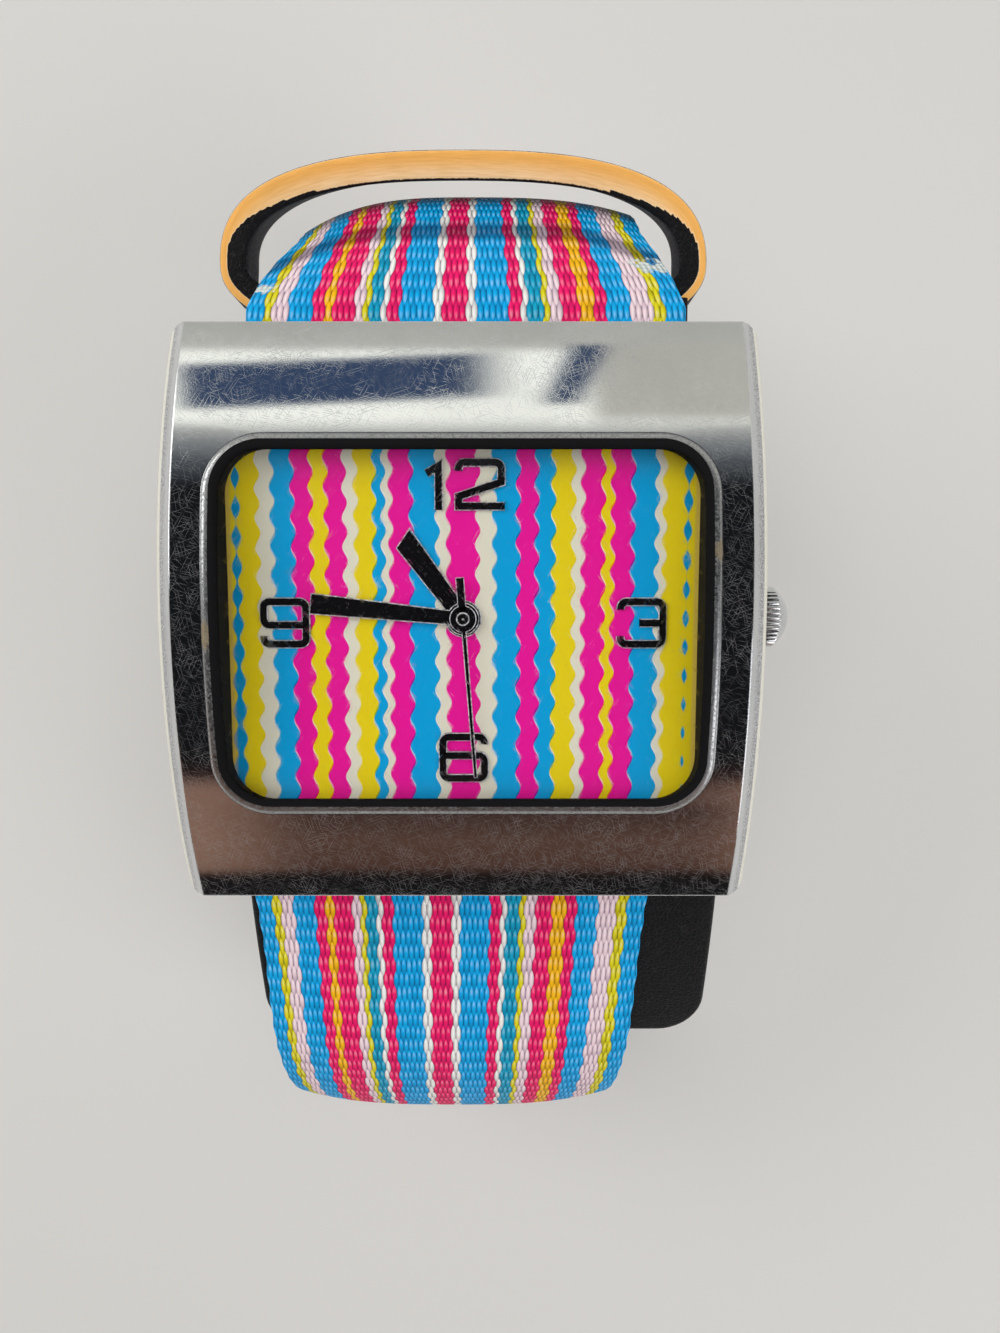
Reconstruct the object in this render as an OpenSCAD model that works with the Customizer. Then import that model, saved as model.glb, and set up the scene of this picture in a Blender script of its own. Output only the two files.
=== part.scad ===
// Rectangular wristwatch with a bowed bright case, a woven ribbon strap in two halves
// and a leather pad behind the case that ends in a loop for the ribbon.
// Millimetres. +X points to 3 o'clock, +Y to 12 o'clock, +Z out of the dial.
// The origin is on the surface that the strap stands on, straight under the hands.

/* [Case] */
// Width of the case from 9 to 3 o'clock
case_w = 42; // [40:0.5:45]
// Length of the case from 12 to 6 o'clock
case_l = 41.7; // [40.8:0.1:44]
// How far the front bows down to its ends
bow_drop = 4.5; // [3.8:0.1:4.6]
// Height of the front above the dial, at the middle
front_h = 3.1; // [3.1:0.1:3.6]
// Depth of the case's flat back below the dial
back_d = 6; // [5.9:0.1:6.6]
// Chamfer along each side of the front
side_chamfer = 1.3; // [0.6:0.1:1.6]
// Radius of the case's upright corners
corner_r = 0.8; // [0.4:0.1:1.2]
// Height of the dial's face above the surface the watch stands on
dial_h = 54; // [50:0.5:60]

/* [Window] */
// Width of the front on each side of the opening over the dial
rim_w = 4.4; // [4.2:0.1:5.5]
// Length of the front at each end of the opening
rim_l = 8.55; // [8.45:0.05:9.8]
// Corner radius of the opening
window_r = 3.1; // [2:0.1:4]
// How far the opening sits towards 6 o'clock from the hands
window_drop = 0.6; // [0:0.1:0.7]
// Width of the ledge that carries the crystal
ledge_w = 0.5; // [0.4:0.1:0.6]
// Thickness of the crystal
crystal_t = 0.8; // [0.7:0.05:0.85]
// Thickness of the gasket under the crystal
crystal_seal_t = 0.15; // [0.1:0.05:0.2]
// Height of the bezel's bead above the front
bezel_h = 0.55; // [0.3:0.05:0.8]
// How far the bezel reaches in over the crystal
bezel_in = 0.7; // [0.5:0.05:0.8]
// Thickness of the bezel's leg beside the crystal
bezel_leg = 0.4; // [0.3:0.05:0.6]

/* [Dial and hands] */
// Thickness of the dial
dial_t = 0.4; // [0.3:0.05:0.5]
// Height and width of a single numeral
numeral_size = 3.5; // [3:0.1:4]
// Width of a numeral's stroke
numeral_stroke = 0.52; // [0.4:0.02:0.7]
// How far the numerals stand off the dial
numeral_h = 0.18; // [0.1:0.02:0.24]
// How far the middles of the 12 and the 6 lie inside the opening's ends
numeral_end = 3; // [2.8:0.1:3.6]
// How far the middles of the 3 and the 9 lie inside the opening's sides
numeral_side = 4; // [3.4:0.1:5]
// How far the hour hand ends short of the numerals
hour_short = 0.25; // [0.2:0.05:1.2]
// Width of the hour hand
hour_w = 1.65; // [1.2:0.05:1.9]
// How far the minute hand ends short of the second hand
minute_short = 0.5; // [0.2:0.1:2]
// Width of the minute hand at its tip
minute_w = 1.5; // [1.1:0.05:1.7]
// How far the second hand ends short of the opening
second_short = 0.4; // [0.3:0.1:2]
// Width of the second hand
second_w = 0.35; // [0.25:0.05:0.5]
// Thickness of each hand
hand_t = 0.12; // [0.1:0.01:0.14]
// Where the hour hand stands, clockwise from 12
hour_angle = 323.2; // [0:0.1:360]
// Where the minute hand stands, clockwise from 12
minute_angle = 275.7; // [0:0.1:360]
// Where the second hand stands, clockwise from 12
second_angle = 175.6; // [0:0.1:360]

/* [Movement] */
// Width of the movement along X
movement_w = 17.8; // [17.4:0.1:19]
// Length of the movement along Y
movement_l = 15.3; // [15.1:0.1:16.4]
// Thickness of the movement's two plates
plate_t = 0.45; // [0.35:0.05:0.5]
// Diameter of the button cell
cell_d = 6.8; // [6:0.1:7]
// Thickness of the button cell
cell_t = 2.15; // [1.6:0.05:2.3]
// Module of the teeth that drive the hour hand
motion_module = 0.13; // [0.12:0.002:0.136]
// Module of the teeth between the second hand and the minute hand
train_module = 0.085; // [0.082:0.001:0.086]
// Module of the teeth between the rotor and the second hand
step_module = 0.105; // [0.104:0.001:0.108]

/* [Crown] */
// Diameter of the crown
crown_d = 4.5; // [4:0.1:5]
// Length of the crown's knurled band
crown_band = 1.85; // [1.2:0.05:2.2]
// Height of the crown's dome
crown_dome = 0.85; // [0.6:0.05:1.1]
// Depth of the crown's axis below the dial
crown_z = 2.95; // [2.9:0.05:3.1]
// How far the crown pulls out to set the hands
crown_pull = 0.6; // [0.4:0.1:0.7]
// Radius of the setting stem
stem_r = 0.45; // [0.35:0.05:0.5]

/* [Strap] */
// How far the ribbon's edges lie inside the sides of the case
ribbon_in = 4.25; // [4:0.05:5.5]
// Width of the ribbon at the closure
tail_w = 22; // [21:0.1:22]
// Thickness of the ribbon
ribbon_t = 1.2; // [1:0.05:1.3]
// Radius of each spring bar
bar_r = 0.75; // [0.6:0.05:0.8]
// Depth of the spring bars below the dial
bar_z = 4.6; // [4.5:0.05:4.8]
// How far the lower ribbon sits towards 9 o'clock on its bar
lower_shift = 1.4; // [0:0.1:1.4]
// Gap between the two halves where they lap
lap_gap = 0.5; // [0.4:0.05:0.8]
// How far the lower ribbon's tip reaches past the hands' centre
tail_y = 13; // [9:0.5:14]
// Radius of the eyelets' holes in the tail
eyelet_r = 1.1; // [0.8:0.05:1.3]
// Distance from one eyelet to the next
eyelet_pitch = 6.5; // [5:0.1:7]
// Where the buckle's bar lies, from the hands' centre towards 12 o'clock
buckle_y = 5.5; // [4:0.5:7]
// Length of the buckle from its bar to its front
buckle_l = 9.5; // [8:0.1:11]
// Thickness of the buckle's frame
buckle_t = 1.8; // [1.7:0.1:2.2]

/* [Leather pad] */
// How far the pad's sides lie inside the sides of the case
pad_in = 0.75; // [0:0.05:1.5]
// Thickness of the leather
pad_t = 2.1; // [1.6:0.1:2.2]
// Radius of the pad's curve to the wrist
pad_r = 115; // [105:1:120]
// How far the pad reaches beyond the spring bar at 6 o'clock
pad_out = 22.6; // [19:0.2:23]
// Radius of the pad's corners
pad_corner = 4; // [2:0.5:6]
// How far the pad sits towards 3 o'clock
pad_shift = 1.15; // [0:0.05:1.2]
// Height of the loop's strip at its crest
loop_h = 6; // [5:0.2:6.2]
// How far the middle of the loop's leather lies beyond the ribbon's edge
loop_side = 1.1; // [0.95:0.05:1.65]
// How far the loop's crest lies beyond the spring bar at 12 o'clock
loop_out = 18.1; // [18:0.1:19.5]

/* [Hidden] */

$fn = 72;
// One overrun serves every cut
cut = 1;
// Radial play of a pin or an arbor that turns in its hole
run_gap = 0.08;
// Gap between fixed pieces that are laid against each other
seat_gap = 0.04;
// Gap between pieces that move past each other
move_gap = 0.3;

// The dial's face and the axis of the front's bow
bow_r = (pow(case_l / 2, 2) + pow(bow_drop, 2)) / (2 * bow_drop);
bow_z = dial_h + front_h - bow_r;
back_z = dial_h - back_d;
window_w = case_w - 2 * rim_w;
window_l = case_l - 2 * rim_l;
window_y = -window_drop;

// The window's steps, as radii about the bow axis
crystal_proud = 0.1;
crystal_bow = bow_r + crystal_proud;
seal_bow = crystal_bow - crystal_t;
ledge_bow = seal_bow - crystal_seal_t;
bead_bow = bow_r + bezel_h;

// The cavity behind the dial
cavity_ledge_x = 1.4;
cavity_ledge_y = 0.7;
cavity_w = window_w + 2 * cavity_ledge_x;
cavity_l = window_l + 2 * cavity_ledge_y;
cavity_r = window_r + cavity_ledge_y;

// The recess at each end, round the folded end of the ribbon
skirt_t = 1.35;
skirt_d = 4.55;
recess_side = 2.4;
recess_roof = 1.95;
bar_bore = bar_r + run_gap;
fold_r = bar_bore + ribbon_t;
fold_play = 0.45;
bar_y = case_l / 2 - skirt_t - fold_play - fold_r;
bar_at = dial_h - bar_z;
recess_w = case_w - 2 * recess_side;
ribbon_w = case_w - 2 * ribbon_in;
bar_tip_r = 0.4;
bar_tip_l = 1.2;

// The back cover, its seal and its screws
cover_t = 0.8;
cover_rim_x = 2.2;
cover_rim_y = 0.55;
cover_w = cavity_w + 2 * cover_rim_x;
cover_l = cavity_l + 2 * cover_rim_y;
cover_plug = 0.6;
back_seal_w = 0.45;
back_seal_t = 0.3;
screw_r = 0.4;
screw_head_r = 0.8;
screw_head_t = 0.4;
screw_slot_w = 0.2;
screw_l = 2.4;
screw_in = 1.05;
screw_x = cover_w / 2 - screw_in;
screw_y = cover_l / 2 - 2.6 * screw_in;

// The strap's course, in the plane X = 0: lengths and radii of its runs and bends
fold_off = bar_bore + ribbon_t / 2;
upper_start_angle = 2;
upper_lead = 4.3;
upper_bend_r = 15;
upper_bend_angle = 65;
upper_side_r = 45;
lower_start_angle = 30;
lower_lead = 6.4;
lower_back_r = 8;
lower_back_angle = -16;
lower_run = 13.5;
lower_bend_r = 22.5;
lower_bend_angle = 43;
lower_side_r = 24;
bend_step_angle = 6;
lap_h = 1.5 * ribbon_t + lap_gap;
taper_lead = 7;
taper_run = 7;
taper_last = 3.5;
taper_from = bar_y + taper_lead;
taper_mid = taper_from + taper_run;
taper_to = taper_mid + taper_last;
mid_w = (ribbon_w + tail_w) / 2;
side_taper = 2.7;
side_w = ribbon_w - side_taper;
side_shift = 2.2;
tip_r = 8;

// The movement, from the dial down: each level is a depth below the dial's face
wheel_t = 0.35;
level_gap = 0.12;
motion_gap = 0.15;
dial_gap = 0.2;
hour_z = dial_t + dial_gap + wheel_t;
minute_z = hour_z + motion_gap + wheel_t;
plate_z = minute_z + motion_gap + plate_t;
centre_z = plate_z + level_gap + wheel_t;
third_z = centre_z + level_gap + wheel_t;
fourth_z = third_z + level_gap + wheel_t;
step_z = fourth_z + level_gap + wheel_t;
bridge_z = step_z + level_gap + plate_t;
second_arbor_r = 0.2;
cannon_in = second_arbor_r + run_gap;
cannon_wall = 0.2;
cannon_out = cannon_in + cannon_wall;
hour_in = cannon_out + run_gap;
hour_out = hour_in + cannon_wall;
post_r = 0.2;
post_bore = post_r + run_gap;
arbor_r = 0.18;

// Places of the numerals, and the hands by length and by height above the dial's face
numeral_x = window_w / 2 - numeral_side;
numeral_y = window_l / 2 - numeral_end;
hour_l = min(numeral_x, numeral_y) - numeral_size / 2 - hour_short;
second_l = window_l / 2 - window_drop - second_short;
minute_l = second_l - minute_short;
hand_gap = 0.1;
hour_hand_z = 0.15;
minute_hand_z = hour_hand_z + hand_t + hand_gap;
second_hand_z = minute_hand_z + hand_t + hand_gap;
hub_hour_r = 1.3;
hub_minute_r = 1.15;
hub_second_r = 0.95;
second_tail = 2.9;
second_tail_w = 0.6;
tip_slant = 0.55;
neck_share = 0.7;
point_share = 0.9;

// Places of the numerals' strokes, in shares of a numeral's size
two_shares = [[0, 0, 1, 0], [0, 1, 1, 1], [0, 0.85, 0, 1], [1, 0.6, 1, 1], [0, 0, 0, 0.22]];
three_shares = [[0, 0, 1, 0], [0, 1, 1, 1], [0.5, 0.46, 1, 0.46], [1, 0, 1, 1],
    [0, 0, 0, 0.18], [0, 0.84, 0, 1]];
six_shares = [[0, 0, 1, 0], [0, 1, 1, 1], [0, 0, 0, 1], [0, 0.52, 1, 0.52], [1, 0, 1, 0.52],
    [1, 0.86, 1, 1]];
flag_shares = [[1, 1], [0.85, 1], [0.62, 0.8], [0.68, 0.69], [0.87, 0.86], [1, 0.86]];
slant_shares = [[0, 0.3], [0, 0.2], [0.12, 0.2], [1, 0.52], [1, 0.66], [0.86, 0.61]];
one_x = 1.42;
two_x = 0.55;

// Teeth of the train
cannon_n = 10;
minute_n = 30;
minute_pinion_n = 8;
hour_n = 32;
leaf_n = 8;
third_n = 60;
centre_n = 64;
fourth_n = 48;
step_n = 40;
motion_reach = motion_module * (cannon_n + minute_n) / 2;
third_reach = train_module * (leaf_n + third_n) / 2;
centre_module = 2 * third_reach / (leaf_n + centre_n);
step_reach = step_module * (leaf_n + fourth_n) / 2;
rotor_reach = step_module * (leaf_n + step_n) / 2;
minute_dir = 60;
third_dir = -60;
step_dir = 110;
rotor_dir = 160;
tip_out_share = 0.85;
root_in_share = 1.2;
tip_half_share = 0.11;
root_half_share = 0.28;

// The motor, the cell and the board
rotor_r = 0.75;
rotor_t = 0.7;
rotor_x = step_reach * cos(step_dir) + rotor_reach * cos(rotor_dir);
rotor_y = step_reach * sin(step_dir) + rotor_reach * sin(rotor_dir);
stator_t = 0.25;
stator_gap = 0.2;
stator_ring = 0.4;
stator_arm = 0.8;
stator_x = 5.4;
stator_z = fourth_z - wheel_t / 2;
coil_l = 8.6;
coil_core_w = 0.9;
coil_y = 6.2;
coil_z = stator_z - stator_t / 2;
coil_r = bridge_z - plate_t - coil_z - seat_gap;
coil_flange = 0.35;
wire_share = 0.84;
cell_x = -5.2;
cell_y = -3.9;
cell_z = plate_z + seat_gap + cell_t;
cell_cap_t = 0.4;
cell_cap_in = 0.5;
clip_w = 1.6;
clip_l = 9.4;
clip_t = 0.2;
clip_dimple = 0.7;
board_t = 0.3;
board_w = 4.1;
board_l = 5.8;
board_x = 6.4;
board_y = -4.4;
can_r = 0.55;
can_l = 4.2;
can_x = 5.5;
board_z = plate_z + 2 * can_r + 4 * seat_gap + board_t;
chip_r = 0.8;
chip_t = 0.25;
pillar_r = 0.5;
pillar_in = 0.9;

// The crown, its tube and its stem
crown_gap = 0.2;
crown_x = case_w / 2 + crown_gap;
axis_z = dial_h - crown_z;
tube_r = 1.25;
tube_bore = 0.7;
tube_out = 1.15;
crown_bore = 1.5;
crown_bore_l = tube_out - crown_gap + move_gap;
seal_r = 0.1;
seal_in = 0.2;
stem_in = 0.3;
stem_head = 0.5;
stem_x = movement_w / 2 + stem_in;
yoke_x = stem_x + stem_head;
yoke_l = 0.5;
yoke_w = 2.4;
yoke_neck_r = 0.25;
stem_hold = 0.45;
stem_end = crown_x + crown_bore_l + stem_hold;
knurl_n = 36;
knurl_d = 0.14;
dome_edge = crown_d / 2 - knurl_d - seat_gap;
dome_r = (pow(dome_edge, 2) + pow(crown_dome, 2)) / (2 * crown_dome);

// The leather pad and its loop
pad_top = back_z - cover_t - seat_gap;
pad_crest = 6;
pad_w = case_w - 2 * pad_in;
pad_end = bar_y + pad_out;
pad_lead = 3;
pad_start = bar_y + pad_lead;
pad_axis = pad_top - pad_r;
pad_fn = 240;
loop_shift = -0.2;
loop_depth = 9.6;
loop_drop = 1.3;
loop_a = ribbon_w / 2 + loop_side;
loop_b = 7.6;
loop_y = bar_y + loop_out;
loop_mid = loop_y - loop_b;
loop_power_share = 0.77;
loop_from = -26;
loop_steps = 36;
loop_flare = 2.6;
loop_low_h = 2.1;
loop_foot_y = loop_mid - loop_b / 2;
loop_lean = atan(loop_flare / loop_h);
tab_w = 3.2;
tab_back = 4;
tab_y = bar_y - tab_back;
tab_t = 1.5;
tab_top = pad_axis + sqrt(pow(pad_r - pad_t, 2) - pow(pad_start - pad_crest, 2)) - seat_gap;

// The buckle
pin_r = 0.75;
pin_bore = pin_r + run_gap;
end_off = pin_bore + ribbon_t / 2;
end_r = pin_bore + ribbon_t;
buckle_z = lap_h + end_off;
buckle_play = 0.4;
arm_w = 1.9;
arm_x = tail_w / 2 + buckle_play;
eye_wall = 0.5;
front_w = 2.2;
tang_w = 2;
tang_t = 1;
tang_past = 1.3;
tang_r = buckle_t / 2 + seat_gap + tang_t;
tang_slot = tang_w + 2 * move_gap;
tang_slot_l = 5;
rest_gap = 0.1;

// The eyelets
eyelet_first = 4;
eyelet_wall = 0.35;
eyelet_lip = 0.5;
eyelet_lip_t = 0.2;

// The buckle's frame leans down until its front rests over the tail's eyelets
buckle_tilt = asin((buckle_z - buckle_t / 2 - ribbon_t - seat_gap - eyelet_lip_t - rest_gap)
    / (buckle_l + front_w / 2));

// Points of the strap's course: [distance out, height, heading below level]
function bend_points(p, radius, turn, steps) =
    let (s = sign(turn),
        c = [p[0] - s * radius * sin(p[2]), p[1] - s * radius * cos(p[2])])
    [for (i = [1:steps])
        let (h = p[2] + turn * i / steps)
        [c[0] + s * radius * sin(h), c[1] + s * radius * cos(h), h]];

function run_point(p, length) =
    [[p[0] + length * cos(p[2]), p[1] - length * sin(p[2]), p[2]]];

function add_bend(course, radius, turn) =
    concat(course, bend_points(course[len(course) - 1], radius, turn,
        max(1, ceil(abs(turn) / bend_step_angle))));

function add_run(course, length) = concat(course, run_point(course[len(course) - 1], length));

function fold_point(heading) =
    [bar_y - fold_off * sin(heading), bar_at - fold_off * cos(heading), heading];

function side_points(course, off) =
    [for (q = course) [q[0] + off * sin(q[2]), q[1] + off * cos(q[2])]];

function flipped(list) = [for (i = [len(list) - 1:-1:0]) list[i]];

upper_lean = add_bend(add_run([fold_point(upper_start_angle)], upper_lead), upper_bend_r,
    upper_bend_angle);
upper_side = add_bend(upper_lean, upper_side_r, 90 - upper_start_angle - upper_bend_angle);
upper_widest = upper_side[len(upper_side) - 1];
upper_floor_r = upper_widest[1] - lap_h;
upper_course = add_run(add_bend(upper_side, upper_floor_r, 90),
    upper_widest[0] - upper_floor_r - buckle_y);

lower_lean = add_bend(add_run([fold_point(lower_start_angle)], lower_lead), lower_back_r,
    lower_back_angle);
lower_side = add_bend(add_bend(add_run(lower_lean, lower_run), lower_bend_r, lower_bend_angle),
    lower_side_r, 90 - lower_start_angle - lower_back_angle - lower_bend_angle);
lower_widest = lower_side[len(lower_side) - 1];
lower_floor_r = lower_widest[1] - ribbon_t / 2;
lower_course = add_run(add_bend(lower_side, lower_floor_r, 90),
    lower_widest[0] - lower_floor_r + tail_y);

// Flat outline with round corners
module round_rect(w, l, r) {
    square([w - 2 * r, l], center = true);
    square([w, l - 2 * r], center = true);
    for (x = [-1, 1], y = [-1, 1])
        translate([x * (w / 2 - r), y * (l / 2 - r)])
            circle(r = r);
}

// Plate of a round-cornered outline, between two heights
module round_plate(w, l, r, z0, z1) {
    translate([0, 0, z0])
        linear_extrude(z1 - z0)
            round_rect(w, l, r);
}

// Flat rectangle from one corner to the other
module patch(x0, y0, x1, y1) {
    translate([x0, y0])
        square([x1 - x0, y1 - y0]);
}

// Solid cylinder about the axis of the front's bow
module bow_drum(radius, w) {
    translate([-w / 2, 0, bow_z])
        rotate([0, 90, 0])
            cylinder(r = radius, h = w, $fn = pad_fn);
}

// A flat outline cut out of the stretch between two radii about the bow axis
module bow_layer(inner, outer, w) {
    difference() {
        intersection() {
            bow_drum(outer, w);
            translate([0, 0, back_z])
                linear_extrude(bow_r)
                    children();
        }
        bow_drum(inner, w + 2 * cut);
    }
}

// Cylinder along X from one place to another
module rod_x(radius, x0, x1) {
    translate([x0, 0, 0])
        rotate([0, 90, 0])
            cylinder(r = radius, h = x1 - x0);
}

// Disc on the hands' axis, from a depth below the dial's face upwards
module disc(radius, depth, t) {
    translate([0, 0, dial_h - depth])
        cylinder(r = radius, h = t);
}

module window_outline(grow) {
    translate([0, window_y])
        round_rect(window_w + 2 * grow, window_l + 2 * grow, window_r + grow);
}

// Outline of the cavity, grown or shrunk on every side
module cavity_plate(grow, z0, z1) {
    translate([0, window_y, 0])
        round_plate(cavity_w + 2 * grow, cavity_l + 2 * grow, cavity_r + grow, z0, z1);
}

// Front shell with a chamfer along both sides, as a body turned about the bow axis
module front_drum() {
    c = side_chamfer;
    translate([0, 0, bow_z])
        rotate([0, 90, 0])
            rotate_extrude($fn = pad_fn)
                polygon([[0, -case_w / 2], [bow_r - c, -case_w / 2], [bow_r, c - case_w / 2],
                    [bow_r, case_w / 2 - c], [bow_r - c, case_w / 2], [0, case_w / 2]]);
}

// Room for the folded end of a ribbon half, open below and to the end of the case
module end_recess() {
    near = bar_y - fold_r - fold_play / 2;
    translate([-recess_w / 2, near, back_z - cut])
        cube([recess_w, case_l / 2 - skirt_t - near, back_d - recess_roof + cut]);
    translate([-recess_w / 2, near, back_z - cut])
        cube([recess_w, case_l, back_d - skirt_d + cut]);
    translate([0, bar_y, bar_at])
        rod_x(bar_tip_r + seat_gap, -recess_w / 2 - bar_tip_l, recess_w / 2 + bar_tip_l);
}

// Place of one of the four screws of the back cover
module at_screw(i) {
    translate([(i % 2 == 0 ? 1 : -1) * screw_x, window_y + (i > 2 ? 1 : -1) * screw_y, 0])
        children();
}

module case_body() color("silver") difference() {
    intersection() {
        front_drum();
        round_plate(case_w, case_l, corner_r, back_z, dial_h + 2 * front_h);
    }
    bow_layer(ledge_bow, bead_bow + cut, case_w)
        window_outline(ledge_w + bezel_leg + seat_gap);
    translate([0, 0, dial_h - cut])
        linear_extrude(front_h + 2 * cut)
            window_outline(0);
    cavity_plate(0, back_z - cut, dial_h);
    cavity_plate(back_seal_w, back_z - cut, back_z + back_seal_t);
    end_recess();
    mirror([0, 1, 0])
        end_recess();
    translate([0, 0, axis_z])
        rod_x(tube_r + seat_gap, 0, case_w);
    for (i = [1:4])
        at_screw(i)
            translate([0, 0, back_z - cut])
                cylinder(r = screw_r + seat_gap, h = screw_l + cut);
}

module crystal_bezel() color("gainsboro") {
    bow_layer(ledge_bow + seat_gap, bead_bow, case_w) difference() {
        window_outline(ledge_w + bezel_leg);
        window_outline(ledge_w + seat_gap);
    }
    bow_layer(crystal_bow + seat_gap, bead_bow, case_w) difference() {
        window_outline(ledge_w + bezel_leg);
        window_outline(ledge_w - bezel_in);
    }
}

module crystal() color("azure", 0.4)
    bow_layer(seal_bow + seat_gap / 2, crystal_bow, case_w)
        window_outline(ledge_w);

module crystal_gasket() color("dimgray")
    bow_layer(ledge_bow + seat_gap / 2, seal_bow, case_w) difference() {
        window_outline(ledge_w);
        window_outline(seat_gap);
    }

module dial_plate() color("deeppink") difference() {
    cavity_plate(-seat_gap, dial_h - dial_t, dial_h - seat_gap / 2);
    disc(hour_out + 2 * run_gap, dial_t + cut, dial_t + 2 * cut);
}

// Strokes of a numeral, each between two corners that are shares of its size
module strokes(shares) {
    reach = numeral_size - numeral_stroke;
    for (k = shares)
        translate([min(k[0], k[2]) * reach, min(k[1], k[3]) * reach])
            square([abs(k[2] - k[0]) * reach + numeral_stroke,
                abs(k[3] - k[1]) * reach + numeral_stroke]);
}

// A numeral's lower left corner is moved to a place on the dial, its middle line to a height
module on_dial(x, y) {
    translate([x, y - numeral_size / 2, dial_h])
        linear_extrude(numeral_h)
            children();
}

module numeral_12() color("black") {
    on_dial(-one_x - numeral_size, numeral_y) {
        patch(numeral_size - numeral_stroke, 0, numeral_size, numeral_size);
        polygon(numeral_size * flag_shares);
    }
    on_dial(-two_x, numeral_y) {
        strokes(two_shares);
        polygon(numeral_size * slant_shares);
    }
}

module numeral_3() color("black")
    on_dial(numeral_x - numeral_size / 2, window_y / 2)
        strokes(three_shares);

module numeral_6() color("black")
    on_dial(-numeral_size / 2, window_y - numeral_y)
        strokes(six_shares);

module numeral_9() color("black")
    translate([-numeral_x, window_y / 2, 0])
        rotate([0, 0, 180])
            on_dial(-numeral_size / 2, 0)
                strokes(six_shares);

// A hand: its outline points to 12 before it is turned to its hour
module hand(at, height, hub_r, bore_r) {
    rotate([0, 0, -at])
        translate([0, 0, dial_h + height])
            difference() {
                union() {
                    linear_extrude(hand_t)
                        children();
                    cylinder(r = hub_r, h = hand_t);
                }
                translate([0, 0, -cut])
                    cylinder(r = bore_r + seat_gap / 2, h = hand_t + 2 * cut);
            }
}

module hour_hand() color("black")
    hand(hour_angle, hour_hand_z, hub_hour_r, hour_out)
        polygon([[-hour_w * neck_share / 2, 0], [-hour_w / 2, hour_l / 2],
            [-hour_w / 2, hour_l - tip_slant], [hour_w / 2, hour_l], [hour_w / 2, hour_l / 2],
            [hour_w * neck_share / 2, 0]]);

module minute_hand() color("black")
    hand(minute_angle, minute_hand_z, hub_minute_r, cannon_out)
        polygon([[-minute_w * neck_share / 2, 0], [-minute_w / 2, minute_l],
            [minute_w / 2, minute_l], [minute_w * neck_share / 2, 0]]);

module second_hand() color("black")
    hand(second_angle, second_hand_z, hub_second_r, second_arbor_r) {
        polygon([[-second_w / 2, 0], [-second_w * point_share / 2, second_l],
            [second_w * point_share / 2, second_l], [second_w / 2, 0]]);
        patch(-second_tail_w / 2, -second_tail, second_tail_w / 2, 0);
    }

// Outline of a toothed wheel with a tooth centred on the X axis
function wheel_points(n, m) =
    let (r = n * m / 2, pitch = 360 / n,
        tip_r = r + tip_out_share * m, root_r = r - root_in_share * m,
        tip_a = tip_half_share * pitch, root_a = root_half_share * pitch)
    [for (i = [0:n - 1], k = [[root_r, -root_a], [tip_r, -tip_a], [tip_r, tip_a], [root_r, root_a]])
        k[0] * [cos(i * pitch + k[1]), sin(i * pitch + k[1])]];

// Toothed wheel whose underside lies at a depth, turned so that a tooth lies in a direction
module wheel(n, m, depth, tooth_dir) {
    translate([0, 0, dial_h - depth])
        rotate([0, 0, tooth_dir])
            linear_extrude(wheel_t)
                polygon(wheel_points(n, m));
}

// The same wheel turned so that a gap faces the wheel that drives it
module driven_wheel(n, m, depth, driver_dir) {
    wheel(n, m, depth, driver_dir + 180 + 180 / n);
}

// Place at a distance from the hands' centre in a direction
module at_polar(reach, dir) {
    translate([reach * cos(dir), reach * sin(dir), 0])
        children();
}

// Arbor between the pivots of the two plates
module arbor() {
    disc(arbor_r, bridge_z - plate_t / 2, bridge_z - plate_z - seat_gap);
}

module hour_wheel() color("goldenrod") difference() {
    union() {
        wheel(hour_n, motion_module, hour_z, minute_dir);
        disc(hour_out, hour_z, hour_z + hour_hand_z + hand_t);
    }
    disc(hour_in, hour_z + cut, hour_z + hour_hand_z + 2 * cut);
}

module cannon_pinion() color("goldenrod") difference() {
    union() {
        wheel(cannon_n, motion_module, minute_z, minute_dir);
        wheel(centre_n, centre_module, centre_z, third_dir);
        disc(cannon_out, centre_z, centre_z + minute_hand_z + hand_t);
    }
    disc(cannon_in, centre_z + cut, centre_z + minute_hand_z + 2 * cut);
}

module minute_wheel() color("goldenrod")
    at_polar(motion_reach, minute_dir)
        difference() {
            union() {
                driven_wheel(minute_n, motion_module, minute_z, minute_dir);
                driven_wheel(minute_pinion_n, motion_module, hour_z, minute_dir);
                disc(post_bore + run_gap, minute_z, minute_z - hour_z + wheel_t);
            }
            disc(post_bore, minute_z + cut, minute_z + cut);
        }

module fourth_wheel() color("goldenrod") {
    wheel(fourth_n, step_module, fourth_z, step_dir);
    wheel(leaf_n, train_module, third_z, third_dir);
    disc(second_arbor_r, bridge_z - plate_t / 2,
        bridge_z - plate_t / 2 + second_hand_z + hand_t);
}

module third_wheel() color("goldenrod")
    at_polar(third_reach, third_dir) {
        driven_wheel(third_n, train_module, third_z, third_dir);
        driven_wheel(leaf_n, centre_module, centre_z, third_dir);
        arbor();
    }

module step_wheel() color("goldenrod")
    at_polar(step_reach, step_dir) {
        driven_wheel(leaf_n, step_module, fourth_z, step_dir);
        wheel(step_n, step_module, step_z, rotor_dir);
        arbor();
    }

module rotor() color("dimgray")
    translate([rotor_x, rotor_y, 0]) {
        driven_wheel(leaf_n, step_module, step_z, rotor_dir);
        disc(rotor_r, fourth_z, rotor_t);
        arbor();
    }

module at_pillars() {
    for (x = [-1, 1], y = [-1, 1])
        translate([x * (movement_w / 2 - pillar_in), y * (movement_l / 2 - pillar_in), 0])
            children();
}

// Places of the three arbors that run between the plates
module at_arbors() {
    at_polar(third_reach, third_dir)
        children();
    at_polar(step_reach, step_dir)
        children();
    translate([rotor_x, rotor_y, 0])
        children();
}

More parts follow.
